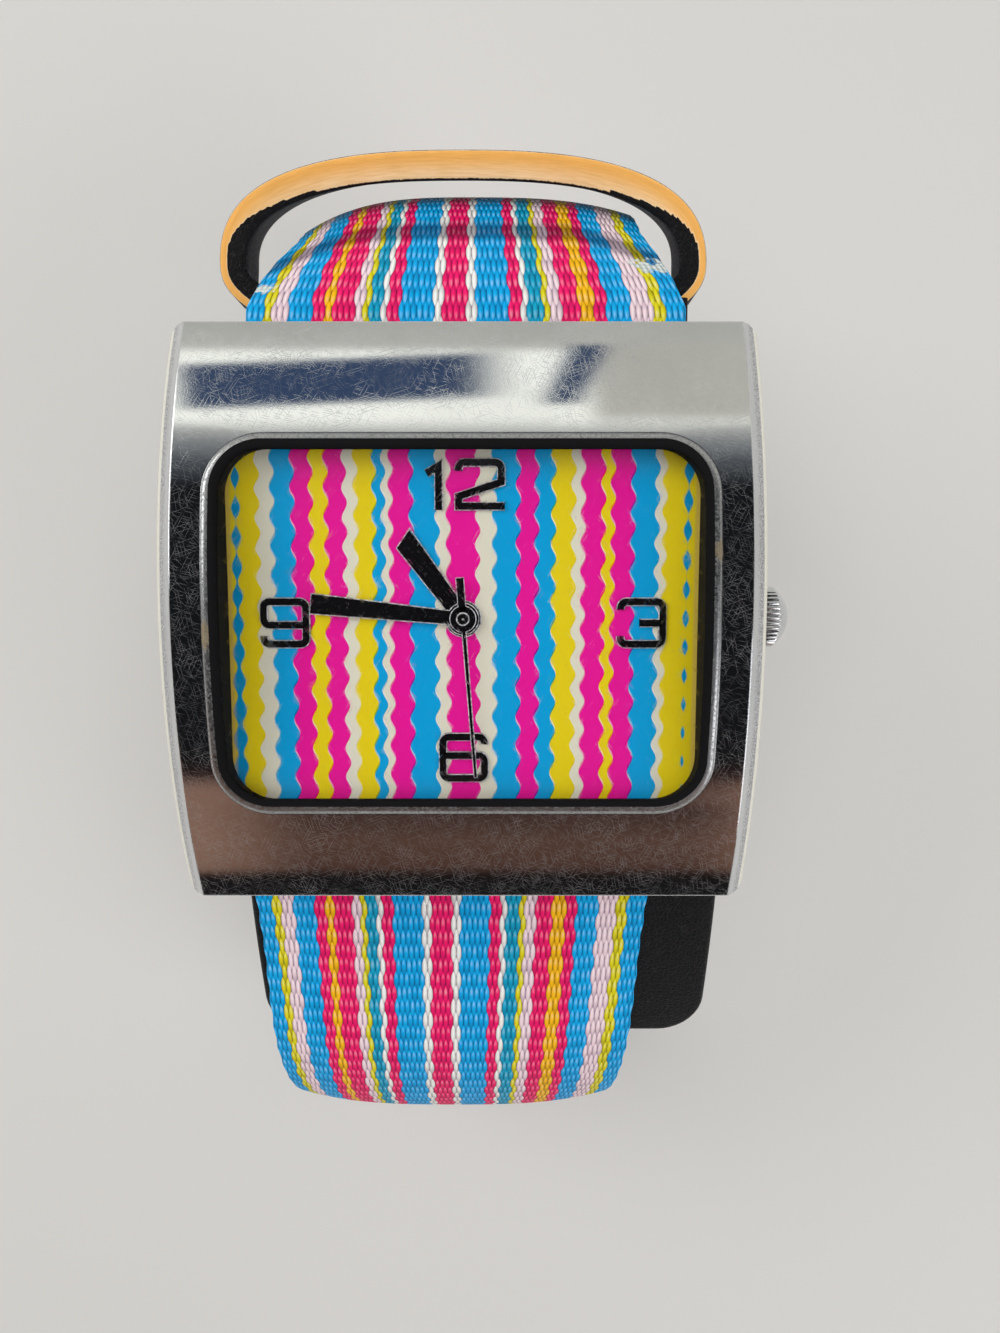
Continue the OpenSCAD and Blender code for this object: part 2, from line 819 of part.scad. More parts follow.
module movement_plate(depth, t) {
    round_plate(movement_w, movement_l, pillar_in, dial_h - depth, dial_h - depth + t);
}

module main_plate() color("tan") {
    difference() {
        movement_plate(plate_z, plate_t);
        disc(cannon_out + run_gap, plate_z + cut, plate_t + 2 * cut);
        at_arbors()
            disc(arbor_r + run_gap, plate_z + cut, plate_t / 2 + cut + seat_gap);
    }
    at_polar(motion_reach, minute_dir)
        disc(post_r, plate_z - plate_t, plate_z - plate_t - hour_z + wheel_t);
    at_pillars()
        disc(pillar_r, bridge_z - plate_t, bridge_z - 2 * plate_t - dial_t - seat_gap);
}

module train_bridge() color("silver") difference() {
    movement_plate(bridge_z, plate_t - seat_gap);
    translate([cell_x, cell_y, 0])
        disc(cell_d / 2 + seat_gap, bridge_z + cut, plate_t + 2 * cut);
    disc(second_arbor_r + run_gap, bridge_z + cut, plate_t + 2 * cut);
    at_arbors()
        disc(arbor_r + run_gap, bridge_z + cut, plate_t + 2 * cut);
}

// Flat laminated piece: a ring round the rotor and the two arms to the coil's core
module stator() color("silver")
    translate([0, 0, dial_h - stator_z])
        linear_extrude(stator_t)
            difference() {
                union() {
                    translate([rotor_x, rotor_y])
                        circle(r = rotor_r + stator_gap + stator_ring);
                    patch(-stator_x, rotor_y - stator_arm / 2, rotor_x, rotor_y + stator_arm / 2);
                    patch(rotor_x, rotor_y + stator_arm / 2, stator_x, rotor_y + 1.5 * stator_arm);
                    patch(-stator_x, rotor_y, stator_arm - stator_x, coil_y + coil_core_w / 2);
                    patch(stator_x - stator_arm, rotor_y + stator_arm / 2, stator_x,
                        coil_y + coil_core_w / 2);
                    patch(-stator_x, coil_y - coil_core_w / 2, stator_x,
                        coil_y + coil_core_w / 2);
                }
                translate([rotor_x, rotor_y])
                    circle(r = rotor_r + stator_gap);
            }

module coil() color("darkorange")
    translate([0, coil_y, dial_h - coil_z])
        difference() {
            union() {
                rod_x(coil_r * wire_share, -coil_l / 2, coil_l / 2);
                rod_x(coil_r, -coil_l / 2, coil_flange - coil_l / 2);
                rod_x(coil_r, coil_l / 2 - coil_flange, coil_l / 2);
            }
            translate([-coil_l, -coil_core_w / 2 - seat_gap, -stator_t / 2 - seat_gap])
                cube([2 * coil_l, coil_core_w + 2 * seat_gap, stator_t + 2 * seat_gap]);
        }

module circuit_board() color("seagreen") {
    difference() {
        translate([board_x - board_w / 2, board_y - board_l / 2, dial_h - board_z])
            cube([board_w, board_l, board_t]);
        at_pillars()
            disc(pillar_r + seat_gap, board_z + cut, board_t + 2 * cut);
    }
    translate([board_x, board_y, 0])
        disc(chip_r, board_z + chip_t, chip_t + board_t / 2);
}

module quartz_can() color("lightsteelblue")
    translate([can_x, board_y + can_l / 2, dial_h - plate_z - can_r - 2 * seat_gap])
        rotate([90, 0, 0])
            cylinder(r = can_r, h = can_l);

module button_cell() color("lightgray")
    translate([cell_x, cell_y, 0]) {
        disc(cell_d / 2, cell_z, cell_t - cell_cap_t);
        disc(cell_d / 2 - cell_cap_in, cell_z, cell_t);
    }

module cell_clip() color("khaki") {
    translate([cell_x - clip_w / 2, 2 * seat_gap - movement_l / 2,
        dial_h - bridge_z - seat_gap - clip_t])
        cube([clip_w, clip_l, clip_t]);
    translate([cell_x, cell_y, 0])
        disc(clip_dimple, bridge_z + seat_gap + clip_t, bridge_z + clip_t - cell_z);
}

module movement_holder() color("whitesmoke") difference() {
    cavity_plate(-seat_gap, back_z + cover_plug + seat_gap, dial_h - dial_t - seat_gap);
    translate([-movement_w / 2 - seat_gap, -movement_l / 2 - seat_gap, back_z])
        cube([movement_w + 2 * seat_gap, movement_l + 2 * seat_gap, back_d]);
    translate([0, 0, axis_z])
        rod_x(stem_r + move_gap, movement_w / 2, case_w / 2);
    translate([movement_w / 2, -yoke_w / 2 - run_gap, axis_z - yoke_w / 2 - run_gap])
        cube([yoke_x + yoke_l + crown_pull + move_gap - movement_w / 2, yoke_w + 2 * run_gap,
            yoke_w + 2 * run_gap]);
}

// The stem's groove carries the plate that slides with it
module setting_stem() color("silver")
    translate([0, 0, axis_z]) {
        rod_x(stem_r, stem_x, yoke_x);
        rod_x(yoke_neck_r, yoke_x, yoke_x + yoke_l);
        rod_x(stem_r, yoke_x + yoke_l, stem_end);
    }

module setting_yoke() color("silver")
    translate([0, 0, axis_z])
        difference() {
            translate([yoke_x + seat_gap, -yoke_w / 2, -yoke_w / 2])
                cube([yoke_l - 2 * seat_gap, yoke_w, yoke_w]);
            rod_x(yoke_neck_r + run_gap, yoke_x - cut, yoke_x + yoke_l + cut);
        }

// Outline of the knurled band
function knurl_points() =
    [for (i = [0:knurl_n - 1], k = [0:3])
        (crown_d / 2 - (k > 1 ? knurl_d : 0)) *
            [cos((4 * i + k) * 90 / knurl_n), sin((4 * i + k) * 90 / knurl_n)]];

module crown() color("silver")
    translate([0, 0, axis_z])
        difference() {
            union() {
                translate([crown_x, 0, 0])
                    rotate([0, 90, 0])
                        linear_extrude(crown_band)
                            polygon(knurl_points());
                translate([crown_x + crown_band - seat_gap, 0, 0])
                    rotate([0, 90, 0])
                        rotate_extrude()
                            intersection() {
                                translate([0, crown_dome + seat_gap - dome_r])
                                    circle(r = dome_r);
                                patch(0, 0, dome_edge, crown_dome + cut);
                            }
            }
            rod_x(crown_bore, crown_x - cut, crown_x + crown_bore_l);
            rod_x(stem_r + seat_gap / 2, crown_x, stem_end + seat_gap);
        }

module crown_seal() color("dimgray")
    translate([crown_x + seal_in, 0, axis_z])
        rotate([0, 90, 0])
            rotate_extrude()
                translate([crown_bore - seal_r - seat_gap / 2, 0])
                    circle(r = seal_r);

module crown_tube() color("silver")
    translate([0, 0, axis_z])
        difference() {
            rod_x(tube_r, cavity_w / 2 + seat_gap, case_w / 2 + tube_out);
            rod_x(tube_bore, 0, case_w);
        }

module case_back() color("lightgray") difference() {
    union() {
        translate([0, window_y, 0])
            round_plate(cover_w, cover_l, cavity_r, back_z - cover_t, back_z - seat_gap / 2);
        cavity_plate(-seat_gap, back_z - cover_t / 2, back_z + cover_plug);
    }
    for (i = [1:4])
        at_screw(i) {
            translate([0, 0, back_z - cover_t - cut])
                cylinder(r = screw_head_r + seat_gap, h = screw_head_t + seat_gap + cut);
            translate([0, 0, back_z - cover_t])
                cylinder(r = screw_r + seat_gap, h = cover_t + cut);
        }
}

module back_gasket() color("dimgray") difference() {
    cavity_plate(back_seal_w - seat_gap, back_z, back_z + back_seal_t - seat_gap);
    cavity_plate(0, back_z - cut, back_z + back_seal_t + cut);
}

// Four slotted screws, their heads flush with the cover
module back_screws() color("silver")
    for (i = [1:4])
        at_screw(i)
            translate([0, 0, back_z - cover_t])
                difference() {
                    union() {
                        cylinder(r = screw_head_r, h = screw_head_t);
                        cylinder(r = screw_r, h = cover_t + screw_l - seat_gap);
                    }
                    translate([-screw_head_r - cut, -screw_slot_w / 2, -cut])
                        cube([2 * (screw_head_r + cut), screw_slot_w, screw_head_t / 2 + cut]);
                }

// Spring bar of the ribbon half at 12
module spring_bar() {
    translate([0, bar_y, bar_at]) {
        rod_x(bar_r, move_gap - recess_w / 2, recess_w / 2 - move_gap);
        rod_x(bar_tip_r, seat_gap - recess_w / 2 - bar_tip_l, recess_w / 2 + bar_tip_l - seat_gap);
    }
}

module spring_bar_12() color("silver")
    spring_bar();

module spring_bar_6() color("silver")
    mirror([0, 1, 0])
        spring_bar();

// Band of the ribbon's thickness along a course, with the fold round the spring bar
module band(course, x0, x1) {
    translate([x0, 0, 0])
        rotate([90, 0, 90])
            linear_extrude(x1 - x0)
                polygon(concat(side_points(course, ribbon_t / 2),
                    flipped(side_points(course, -ribbon_t / 2))));
    translate([0, bar_y, bar_at])
        rod_x(fold_r, x0, x1);
}

module upper_outline() {
    polygon([[-ribbon_w / 2, 0], [-ribbon_w / 2, taper_from], [-mid_w / 2, taper_mid],
        [-tail_w / 2, taper_to], [-tail_w / 2, case_w], [tail_w / 2, case_w],
        [tail_w / 2, taper_to], [mid_w / 2, taper_mid], [ribbon_w / 2, taper_from],
        [ribbon_w / 2, 0]]);
}

module upper_ribbon() color("deeppink") difference() {
    union() {
        intersection() {
            band(upper_course, -ribbon_w / 2, ribbon_w / 2);
            union() {
                translate([0, 0, upper_widest[1]])
                    linear_extrude(dial_h)
                        upper_outline();
                translate([-tail_w / 2, 0, 0])
                    cube([tail_w, case_w, upper_widest[1] + cut]);
            }
        }
        translate([0, buckle_y, buckle_z])
            rod_x(end_r, -tail_w / 2, tail_w / 2);
    }
    translate([0, bar_y, bar_at])
        rod_x(bar_bore, -case_w, case_w);
    translate([0, buckle_y, buckle_z])
        rod_x(pin_bore, -case_w, case_w);
    translate([-tang_slot / 2, buckle_y - end_r - cut, 0])
        cube([tang_slot, end_r + cut + tang_slot_l / 2, 2 * buckle_z]);
}

// Outlines of the lower half seen from above: the stretch outside, then the stretch below
module lower_outline() {
    out_u = lower_widest[0] + ribbon_t;
    polygon([[-lower_shift - ribbon_w / 2, 0], [-lower_shift - ribbon_w / 2, bar_y],
        [-side_shift - side_w / 2, out_u], [side_w / 2 - side_shift, out_u],
        [ribbon_w / 2 - lower_shift, bar_y], [ribbon_w / 2 - lower_shift, 0]]);
}

module tail_outline() {
    out_u = lower_widest[0] + ribbon_t;
    near_u = lower_widest[0] - lower_floor_r;
    polygon([[-side_shift - side_w / 2, out_u], [side_w / 2 - side_shift, out_u],
        [tail_w / 2, near_u], [tail_w / 2, tip_r - tail_y], [-tail_w / 2, tip_r - tail_y],
        [-tail_w / 2, near_u]]);
    translate([0, tip_r - tail_y])
        intersection() {
            round_rect(tail_w, 2 * tip_r, tip_r - seat_gap);
            patch(-tail_w, -tail_w, tail_w, seat_gap);
        }
}

module lower_ribbon() color("deeppink")
    mirror([0, 1, 0])
        difference() {
            intersection() {
                band(lower_course, -side_shift - ribbon_w, ribbon_w);
                union() {
                    translate([0, 0, lower_widest[1]])
                        linear_extrude(dial_h)
                            lower_outline();
                    linear_extrude(lower_widest[1])
                        tail_outline();
                }
            }
            translate([0, bar_y, bar_at])
                rod_x(bar_bore, -case_w, case_w);
            for (i = [1:5])
                translate([0, (i - 1) * eyelet_pitch - eyelet_first, -cut])
                    cylinder(r = eyelet_r + eyelet_wall + seat_gap, h = ribbon_t + 2 * cut);
        }

module leather_pad() color("black")
    intersection() {
        translate([0, pad_crest, pad_axis])
            rotate([0, 90, 0])
                difference() {
                    cylinder(r = pad_r, h = 2 * case_w, center = true, $fn = pad_fn);
                    cylinder(r = pad_r - pad_t, h = 3 * case_w, center = true, $fn = pad_fn);
                }
        translate([pad_shift, (pad_start - pad_end) / 2, 0])
            round_plate(pad_w, pad_start + pad_end, pad_corner, 0, dial_h);
    }

// One side of the loop's strip, seen from above
function loop_points(grow) =
    [for (i = [0:loop_steps])
        let (a = loop_from + (180 - 2 * loop_from) * i / loop_steps)
        [loop_shift + (loop_a + grow) * sign(cos(a)) * pow(abs(cos(a)), loop_power_share),
            loop_mid + (loop_b + grow) * sign(sin(a)) * pow(abs(sin(a)), loop_power_share)]];

// Leather strip on edge round the ribbon, with two tabs that run under the pad
module pad_loop() color("black") {
    crest_z = dial_h - loop_depth;
    far_y = loop_y + 2 * pad_t + loop_flare;
    intersection() {
        translate([0, loop_y, crest_z])
            rotate([loop_lean, 0, 0])
                translate([0, -loop_y, -2 * loop_h])
                    linear_extrude(3 * loop_h)
                        polygon(concat(loop_points(pad_t / 2), flipped(loop_points(-pad_t / 2))));
        translate([-case_w, 0, 0])
            rotate([90, 0, 90])
                linear_extrude(2 * case_w)
                    polygon([[far_y, crest_z], [loop_y, crest_z], [loop_foot_y, crest_z - loop_drop],
                        [loop_mid - loop_b, crest_z - loop_drop],
                        [loop_mid - loop_b, crest_z - loop_drop - loop_low_h],
                        [loop_foot_y, crest_z - loop_drop - loop_low_h],
                        [loop_y, crest_z - loop_h], [far_y, crest_z - loop_h]]);
    }
    for (x = [-1, 1])
        translate([loop_shift + x * (loop_a - tab_w / 2) - tab_w / 2, tab_y, tab_top - tab_t])
            cube([tab_w, loop_foot_y + tab_t - tab_y, tab_t]);
}

// The buckle's own place: its bar's axis, leaning down to the front
module at_buckle() {
    translate([0, buckle_y, buckle_z])
        rotate([buckle_tilt, 0, 0])
            children();
}

module buckle_frame() color("silver")
    at_buckle()
        difference() {
            union() {
                for (x = [0, 1])
                    mirror([x, 0, 0]) {
                        rod_x(pin_r + eye_wall, arm_x, arm_x + arm_w);
                        translate([arm_x, -buckle_l, -buckle_t / 2])
                            cube([arm_w, buckle_l, buckle_t]);
                    }
                translate([-arm_x - arm_w, -buckle_l - front_w / 2, -buckle_t / 2])
                    cube([2 * (arm_x + arm_w), front_w, buckle_t]);
                translate([0, -buckle_l - front_w / 2, 0])
                    rod_x(buckle_t / 2, -arm_x - arm_w, arm_x + arm_w);
            }
            rod_x(pin_r + seat_gap, -case_w, case_w);
        }

module buckle_bar() color("silver")
    at_buckle()
        rod_x(pin_r, -arm_x - arm_w, arm_x + arm_w);

module buckle_tang() color("silver")
    at_buckle()
        difference() {
            union() {
                rod_x(tang_r, -tang_w / 2, tang_w / 2);
                translate([-tang_w / 2, -buckle_l - tang_past, buckle_t / 2 + seat_gap])
                    cube([tang_w, buckle_l + tang_past, tang_t]);
            }
            rod_x(pin_bore, -tang_w, tang_w);
        }

module eyelet(i) color("silver")
    translate([0, eyelet_first - (i - 1) * eyelet_pitch, 0])
        difference() {
            union() {
                cylinder(r = eyelet_r + eyelet_wall, h = ribbon_t + seat_gap);
                translate([0, 0, ribbon_t + seat_gap])
                    cylinder(r = eyelet_r + eyelet_lip, h = eyelet_lip_t);
            }
            translate([0, 0, -cut])
                cylinder(r = eyelet_r, h = ribbon_t + 2 * cut);
        }

case_body();
crystal_bezel();
crystal();
crystal_gasket();
dial_plate();
numeral_12();
numeral_3();
numeral_6();
numeral_9();
hour_hand();
minute_hand();
second_hand();
hour_wheel();
cannon_pinion();
minute_wheel();
fourth_wheel();
third_wheel();
step_wheel();
rotor();
main_plate();
train_bridge();
stator();
coil();
circuit_board();
quartz_can();
button_cell();
cell_clip();
movement_holder();
setting_stem();
setting_yoke();
crown();
crown_seal();
crown_tube();
case_back();
back_gasket();
back_screws();
spring_bar_12();
spring_bar_6();
upper_ribbon();
lower_ribbon();
leather_pad();
pad_loop();
buckle_frame();
buckle_bar();
buckle_tang();
eyelet(1);  // eyelet_1
eyelet(2);  // eyelet_2
eyelet(3);  // eyelet_3
eyelet(4);  // eyelet_4
eyelet(5);  // eyelet_5
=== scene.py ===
"""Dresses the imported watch: woven ribbon, leather, polished case, printed dial and hands."""

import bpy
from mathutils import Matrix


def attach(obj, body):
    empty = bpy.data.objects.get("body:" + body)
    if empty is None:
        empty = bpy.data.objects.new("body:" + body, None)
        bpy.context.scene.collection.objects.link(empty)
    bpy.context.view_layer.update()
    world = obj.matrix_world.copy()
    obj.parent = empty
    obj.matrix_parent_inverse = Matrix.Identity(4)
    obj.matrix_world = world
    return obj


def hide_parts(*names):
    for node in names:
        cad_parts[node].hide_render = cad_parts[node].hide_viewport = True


bl_info = {
    "name": "Ribbon Watch",
    "version": (1, 0, 0),
    "blender": (4, 5, 0),
    "location": "View3D > Sidebar > Watch",
    "description": "Builds the pieces and finishes of a wristwatch on a striped ribbon",
    "category": "Object",
}

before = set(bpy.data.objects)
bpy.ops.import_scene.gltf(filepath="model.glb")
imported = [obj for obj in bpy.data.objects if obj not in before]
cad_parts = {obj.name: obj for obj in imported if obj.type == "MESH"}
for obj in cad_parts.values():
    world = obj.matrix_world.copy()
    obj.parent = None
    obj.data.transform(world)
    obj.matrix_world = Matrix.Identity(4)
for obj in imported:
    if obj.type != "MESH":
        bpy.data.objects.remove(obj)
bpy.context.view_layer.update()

from math import asin, cos, pi, radians, sin, sqrt

import bpy
import numpy as np
from bpy.props import FloatProperty, FloatVectorProperty, IntProperty, PointerProperty
from mathutils import Euler, Vector

MM = 0.001


# Property helpers


def linear(code):
    """The linear colour of a six-digit sRGB code."""
    parts = [int(code[i : i + 2], 16) / 255 for i in (0, 2, 4)]
    return tuple(p / 12.92 if p <= 0.04045 else ((p + 0.055) / 1.055) ** 2.4 for p in parts)


def length(name, size, description):
    """A length property whose default is given in millimetres."""
    return FloatProperty(name=name, description=description, default=size * MM, precision=5,
                         unit="LENGTH", subtype="DISTANCE")


def angle(name, size, description):
    """An angle property whose default is given in degrees."""
    return FloatProperty(name=name, description=description, default=radians(size),
                         unit="ROTATION", subtype="ANGLE")


def colour(name, code, description):
    """A colour property whose default is a six-digit sRGB code."""
    return FloatVectorProperty(name=name, description=description, default=linear(code), size=3,
                               min=0, max=1, subtype="COLOR")


# Sizes and colours


class WatchCase(bpy.types.PropertyGroup):
    """Sizes of the case's front, its window and the crown."""

    dial_h: length("Dial height", 54, "Height of the dial's face above the floor")
    bow_r: length("Bow radius", 50.5525, "Radius of the front's bow from 12 to 6")
    front_h: length("Front height", 3.1, "Height of the front's crest above the dial")
    # Past this distance the sides are also painted pale cream as a highlight.
    side_x: length("Side", 20.75, "Where the finely brushed sides start, from the middle")
    window_w: length("Window width", 33.2, "Width of the window along 9 to 3")
    window_l: length("Window length", 24.6, "Length of the window along 12 to 6")
    window_r: length("Window corner", 3.1, "Corner radius of the window")
    window_drop: length("Window drop", 0.6, "How far the window sits towards 6")
    bead_out: length("Bead reach", 0.9, "How far the bead reaches outside the window")
    bead_in: length("Bead lip", 0.2, "How far the bead's lip reaches over the window")
    bead_h: length("Bead height", 0.55, "Height of the bead above the front")
    bead_leg: length("Bead leg", 0.36, "Thickness of the bead's leg in its groove")
    bead_foot: length("Bead foot", 0.81, "Depth of the bead's foot below the front")
    crystal_step: length("Crystal step", 0.14, "Height of the bead's underside over the glass")
    crown_x: length("Crown place", 21.2, "Where the crown's inner face lies from the centre")
    crown_z: length("Crown depth", 2.95, "Depth of the crown's axis below the dial")
    crown_r: length("Crown radius", 2.25, "Radius of the crown over its knurls")
    crown_band: length("Crown band", 1.65, "Length of the crown's knurled band")
    crown_dome: length("Crown dome", 1.05, "Height of the crown's dome")
    crown_bore: length("Crown bore", 1.5, "Radius of the crown's bore round its tube")
    crown_depth: length("Crown bore depth", 1.25, "Depth of the crown's bore")
    knurl_d: length("Knurl depth", 0.14, "Depth of the crown's knurls")
    knurl_n: IntProperty(name="Knurls", description="Number of the crown's knurls", default=36)


class WatchDial(bpy.types.PropertyGroup):
    """Sizes of the numerals and the hands."""

    size: length("Numeral size", 3.5, "Height and width of a numeral")
    stroke: length("Numeral stroke", 0.52, "Width of a numeral's stroke")
    raised: length("Numeral height", 0.18, "How far a numeral stands off the dial")
    across: length("Numeral place across", 12.6, "How far 3 and 9 stand from the centre")
    along: length("Numeral place along", 9.3, "How far 12 and 6 stand from the window's middle")
    hour_l: length("Hour hand length", 7.3, "Length of the hour hand")
    hour_w: length("Hour hand width", 1.65, "Width of the hour hand")
    minute_l: length("Minute hand length", 10.8, "Length of the minute hand")
    minute_w: length("Minute hand width", 1.5, "Width of the minute hand at its tip")
    second_l: length("Second hand length", 11.3, "Length of the second hand")
    second_w: length("Second hand width", 0.35, "Width of the second hand")
    hand_t: length("Hand thickness", 0.12, "Thickness of each hand")
    hour_at: angle("Hour hand angle", 323.2, "Where the hour hand stands, clockwise from 12")
    minute_at: angle("Minute hand angle", 275.7, "Where the minute hand stands")
    second_at: angle("Second hand angle", 175.6, "Where the second hand stands")


class WatchStrap(bpy.types.PropertyGroup):
    """Sizes of the ribbon's two halves and their weave."""

    width: length("Ribbon width", 33.5, "Width of the ribbon at the case")
    tail_w: length("Tail width", 22, "Width of the ribbon at its closure")
    mid_w: length("Shoulder width", 27.75, "Width of the upper half at its shoulder")
    taper_at: length("Taper start", 23.5, "Where the upper half starts to narrow")
    shoulder_at: length("Shoulder start", 30.5, "Where the upper half reaches its shoulder width")
    shoulder_end: length("Shoulder end", 35, "Where the upper half narrows on to its tail")
    side_w: length("Side width", 30.8, "Width of the lower half at its widest reach")
    thick: length("Ribbon thickness", 1.2, "Thickness of the ribbon")
    shift: length("Lower shift", 1.4, "How far the lower half sits towards 9 at the case")
    side_shift: length("Side shift", 2.2, "How far the lower half sits towards 9 at its side")
    bar_y: length("Bar place", 17.02, "Where the spring bars lie from the centre")
    bar_z: length("Bar depth", 4.6, "Depth of the spring bars below the dial")
    fold_r: length("Fold radius", 1.43, "Radius of the fold round a bar, at mid thickness")
    buckle_y: length("Buckle bar place", 5.5, "Where the buckle's bar lies from the centre")
    tail_y: length("Tail reach", 13, "How far the tail reaches past the centre")
    lap: length("Lap height", 2.3, "Height of the upper half's middle where the halves lap")
    tip_r: length("Tip radius", 8, "Radius of the tail's rounded tip")
    crown: length("Crown", 1.3, "How far the ribbon's edges curl inwards")
    droop: length("Droop", 2.4, "How far the upper half's edge towards 9 curls inwards")
    end: length("Float width", 0.46, "Width of one float of the weave")
    row: length("Weave row", 1.47, "Length of one row of the weave")
    tight_row: length("Tight weave row", 1.22, "Length of one row in the upper half")
    # The upper half is painted with a band of shade at this crease.
    crease: length("Crease", 19.4, "Where the upper half is creased, along its course")
    eyelet_pitch: length("Eyelet pitch", 6.5, "Distance from one eyelet to the next")
    eyelet_first: length("First eyelet", 4, "Where the first eyelet lies from the centre")
    eyelet_r: length("Eyelet bore", 1.49, "Radius of the ribbon's hole round an eyelet")
    slot_w: length("Tang slot", 2.6, "Width of the slot that the tang swings in")


class WatchLeather(bpy.types.PropertyGroup):
    """Sizes of the leather pad and its loop."""

    width: length("Pad width", 40.5, "Width of the pad")
    thick: length("Leather thickness", 2.1, "Thickness of the leather")
    radius: length("Pad radius", 115, "Radius of the pad's curve to the wrist")
    top: length("Pad top", 47.16, "Height of the pad's crest")
    crest: length("Pad crest", 6, "Where the pad's crest lies from the centre")
    start: length("Pad start", 20.02, "How far the pad reaches towards 12")
    end: length("Pad end", 39.62, "How far the pad reaches towards 6")
    corner: length("Pad corner", 4, "Radius of the pad's corners")
    shift: length("Pad shift", 1.15, "How far the pad sits towards 3")
    loop_a: length("Loop half width", 18.45, "Half width of the loop at mid thickness")
    loop_y: length("Loop crest", 35.12, "How far the loop's crest lies from the centre")
    loop_mid: length("Loop middle", 27.52, "Where the loop is widest")
    loop_h: length("Loop height", 6, "Height of the loop's strip at its crest")
    loop_low: length("Loop foot height", 2.1, "Height of the loop's strip at its feet")
    loop_depth: length("Loop depth", 9.6, "Depth of the loop's crest below the dial")
    loop_drop: length("Loop drop", 1.3, "How far the loop's cut edge sinks to its feet")
    loop_lean: angle("Loop lean", 25, "How far the loop's strip leans out at its crest")
    loop_shift: length("Loop shift", 0.35, "How far the loop sits towards 9")
    loop_foot_b: length("Loop foot reach", 5.6, "Length of the loop's arc towards its feet")
    tab_x: length("Tab place", 15.7, "How far the middles of the tabs lie from the centre")
    tab_w: length("Tab width", 3.2, "Width of the loop's tabs under the pad")
    tab_y: length("Tab start", 13.02, "Where the loop's tabs start from the centre")
    tab_t: length("Tab thickness", 1.5, "Thickness of the loop's tabs")


class WatchColours(bpy.types.PropertyGroup):
    """Colours of the finishes."""

    magenta: colour("Dial magenta", "FF14A6", "Magenta of the dial's stripes")
    blue: colour("Dial blue", "00AEF0", "Blue of the dial's stripes")
    yellow: colour("Dial yellow", "FCE218", "Yellow of the dial's stripes")
    cream: colour("Dial cream", "F4F0DC", "Cream of the dial's stripes")
    thread_blue: colour("Ribbon blue", "04AEF2", "Blue of the ribbon")
    thread_teal: colour("Ribbon teal", "0CA6CE", "Teal of the ribbon")
    thread_pink: colour("Ribbon pink", "FA1A70", "Raspberry pink of the ribbon")
    thread_pale: colour("Ribbon pale pink", "F6DCE4", "Pale pink of the ribbon")
    thread_white: colour("Ribbon white", "F4F4F0", "White of the ribbon")
    thread_yellow: colour("Ribbon yellow", "E4DA1E", "Yellow of the ribbon")
    thread_orange: colour("Ribbon orange", "FFC018", "Orange yellow of the ribbon")
    leather: colour("Leather face", "0D0C0F", "Dyed face of the leather")
    cut: colour("Leather edge", "F4B45E", "Cut edge of the leather")
    core: colour("Leather core", "F6D4A6", "Paler core of the leather's cut edge")
    chrome: colour("Chrome", "D8DADD", "Polished plating")
    brass: colour("Worn plating", "8C8270", "Metal where the plating is worn")
    ink: colour("Numeral black", "0B0A0C", "Black faces of numerals and hands")
    gold: colour("Gear brass", "C8A050", "Brass of the gear train")
    copper: colour("Coil copper", "B4602E", "Copper wire of the coil")
    board: colour("Circuit board", "1E5A3C", "Lacquer of the circuit board")
    plastic: colour("Holder plastic", "D8D4C8", "Plastic of the movement's holder")
    rubber: colour("Seal rubber", "1C1C1E", "Rubber of the seals")
    floor: colour("Floor", "D9D8D6", "Plain pale floor")


SIZES = {"watch_case": WatchCase, "watch_dial": WatchDial, "watch_strap": WatchStrap,
         "watch_leather": WatchLeather, "watch_colours": WatchColours}


# Meshes from arrays


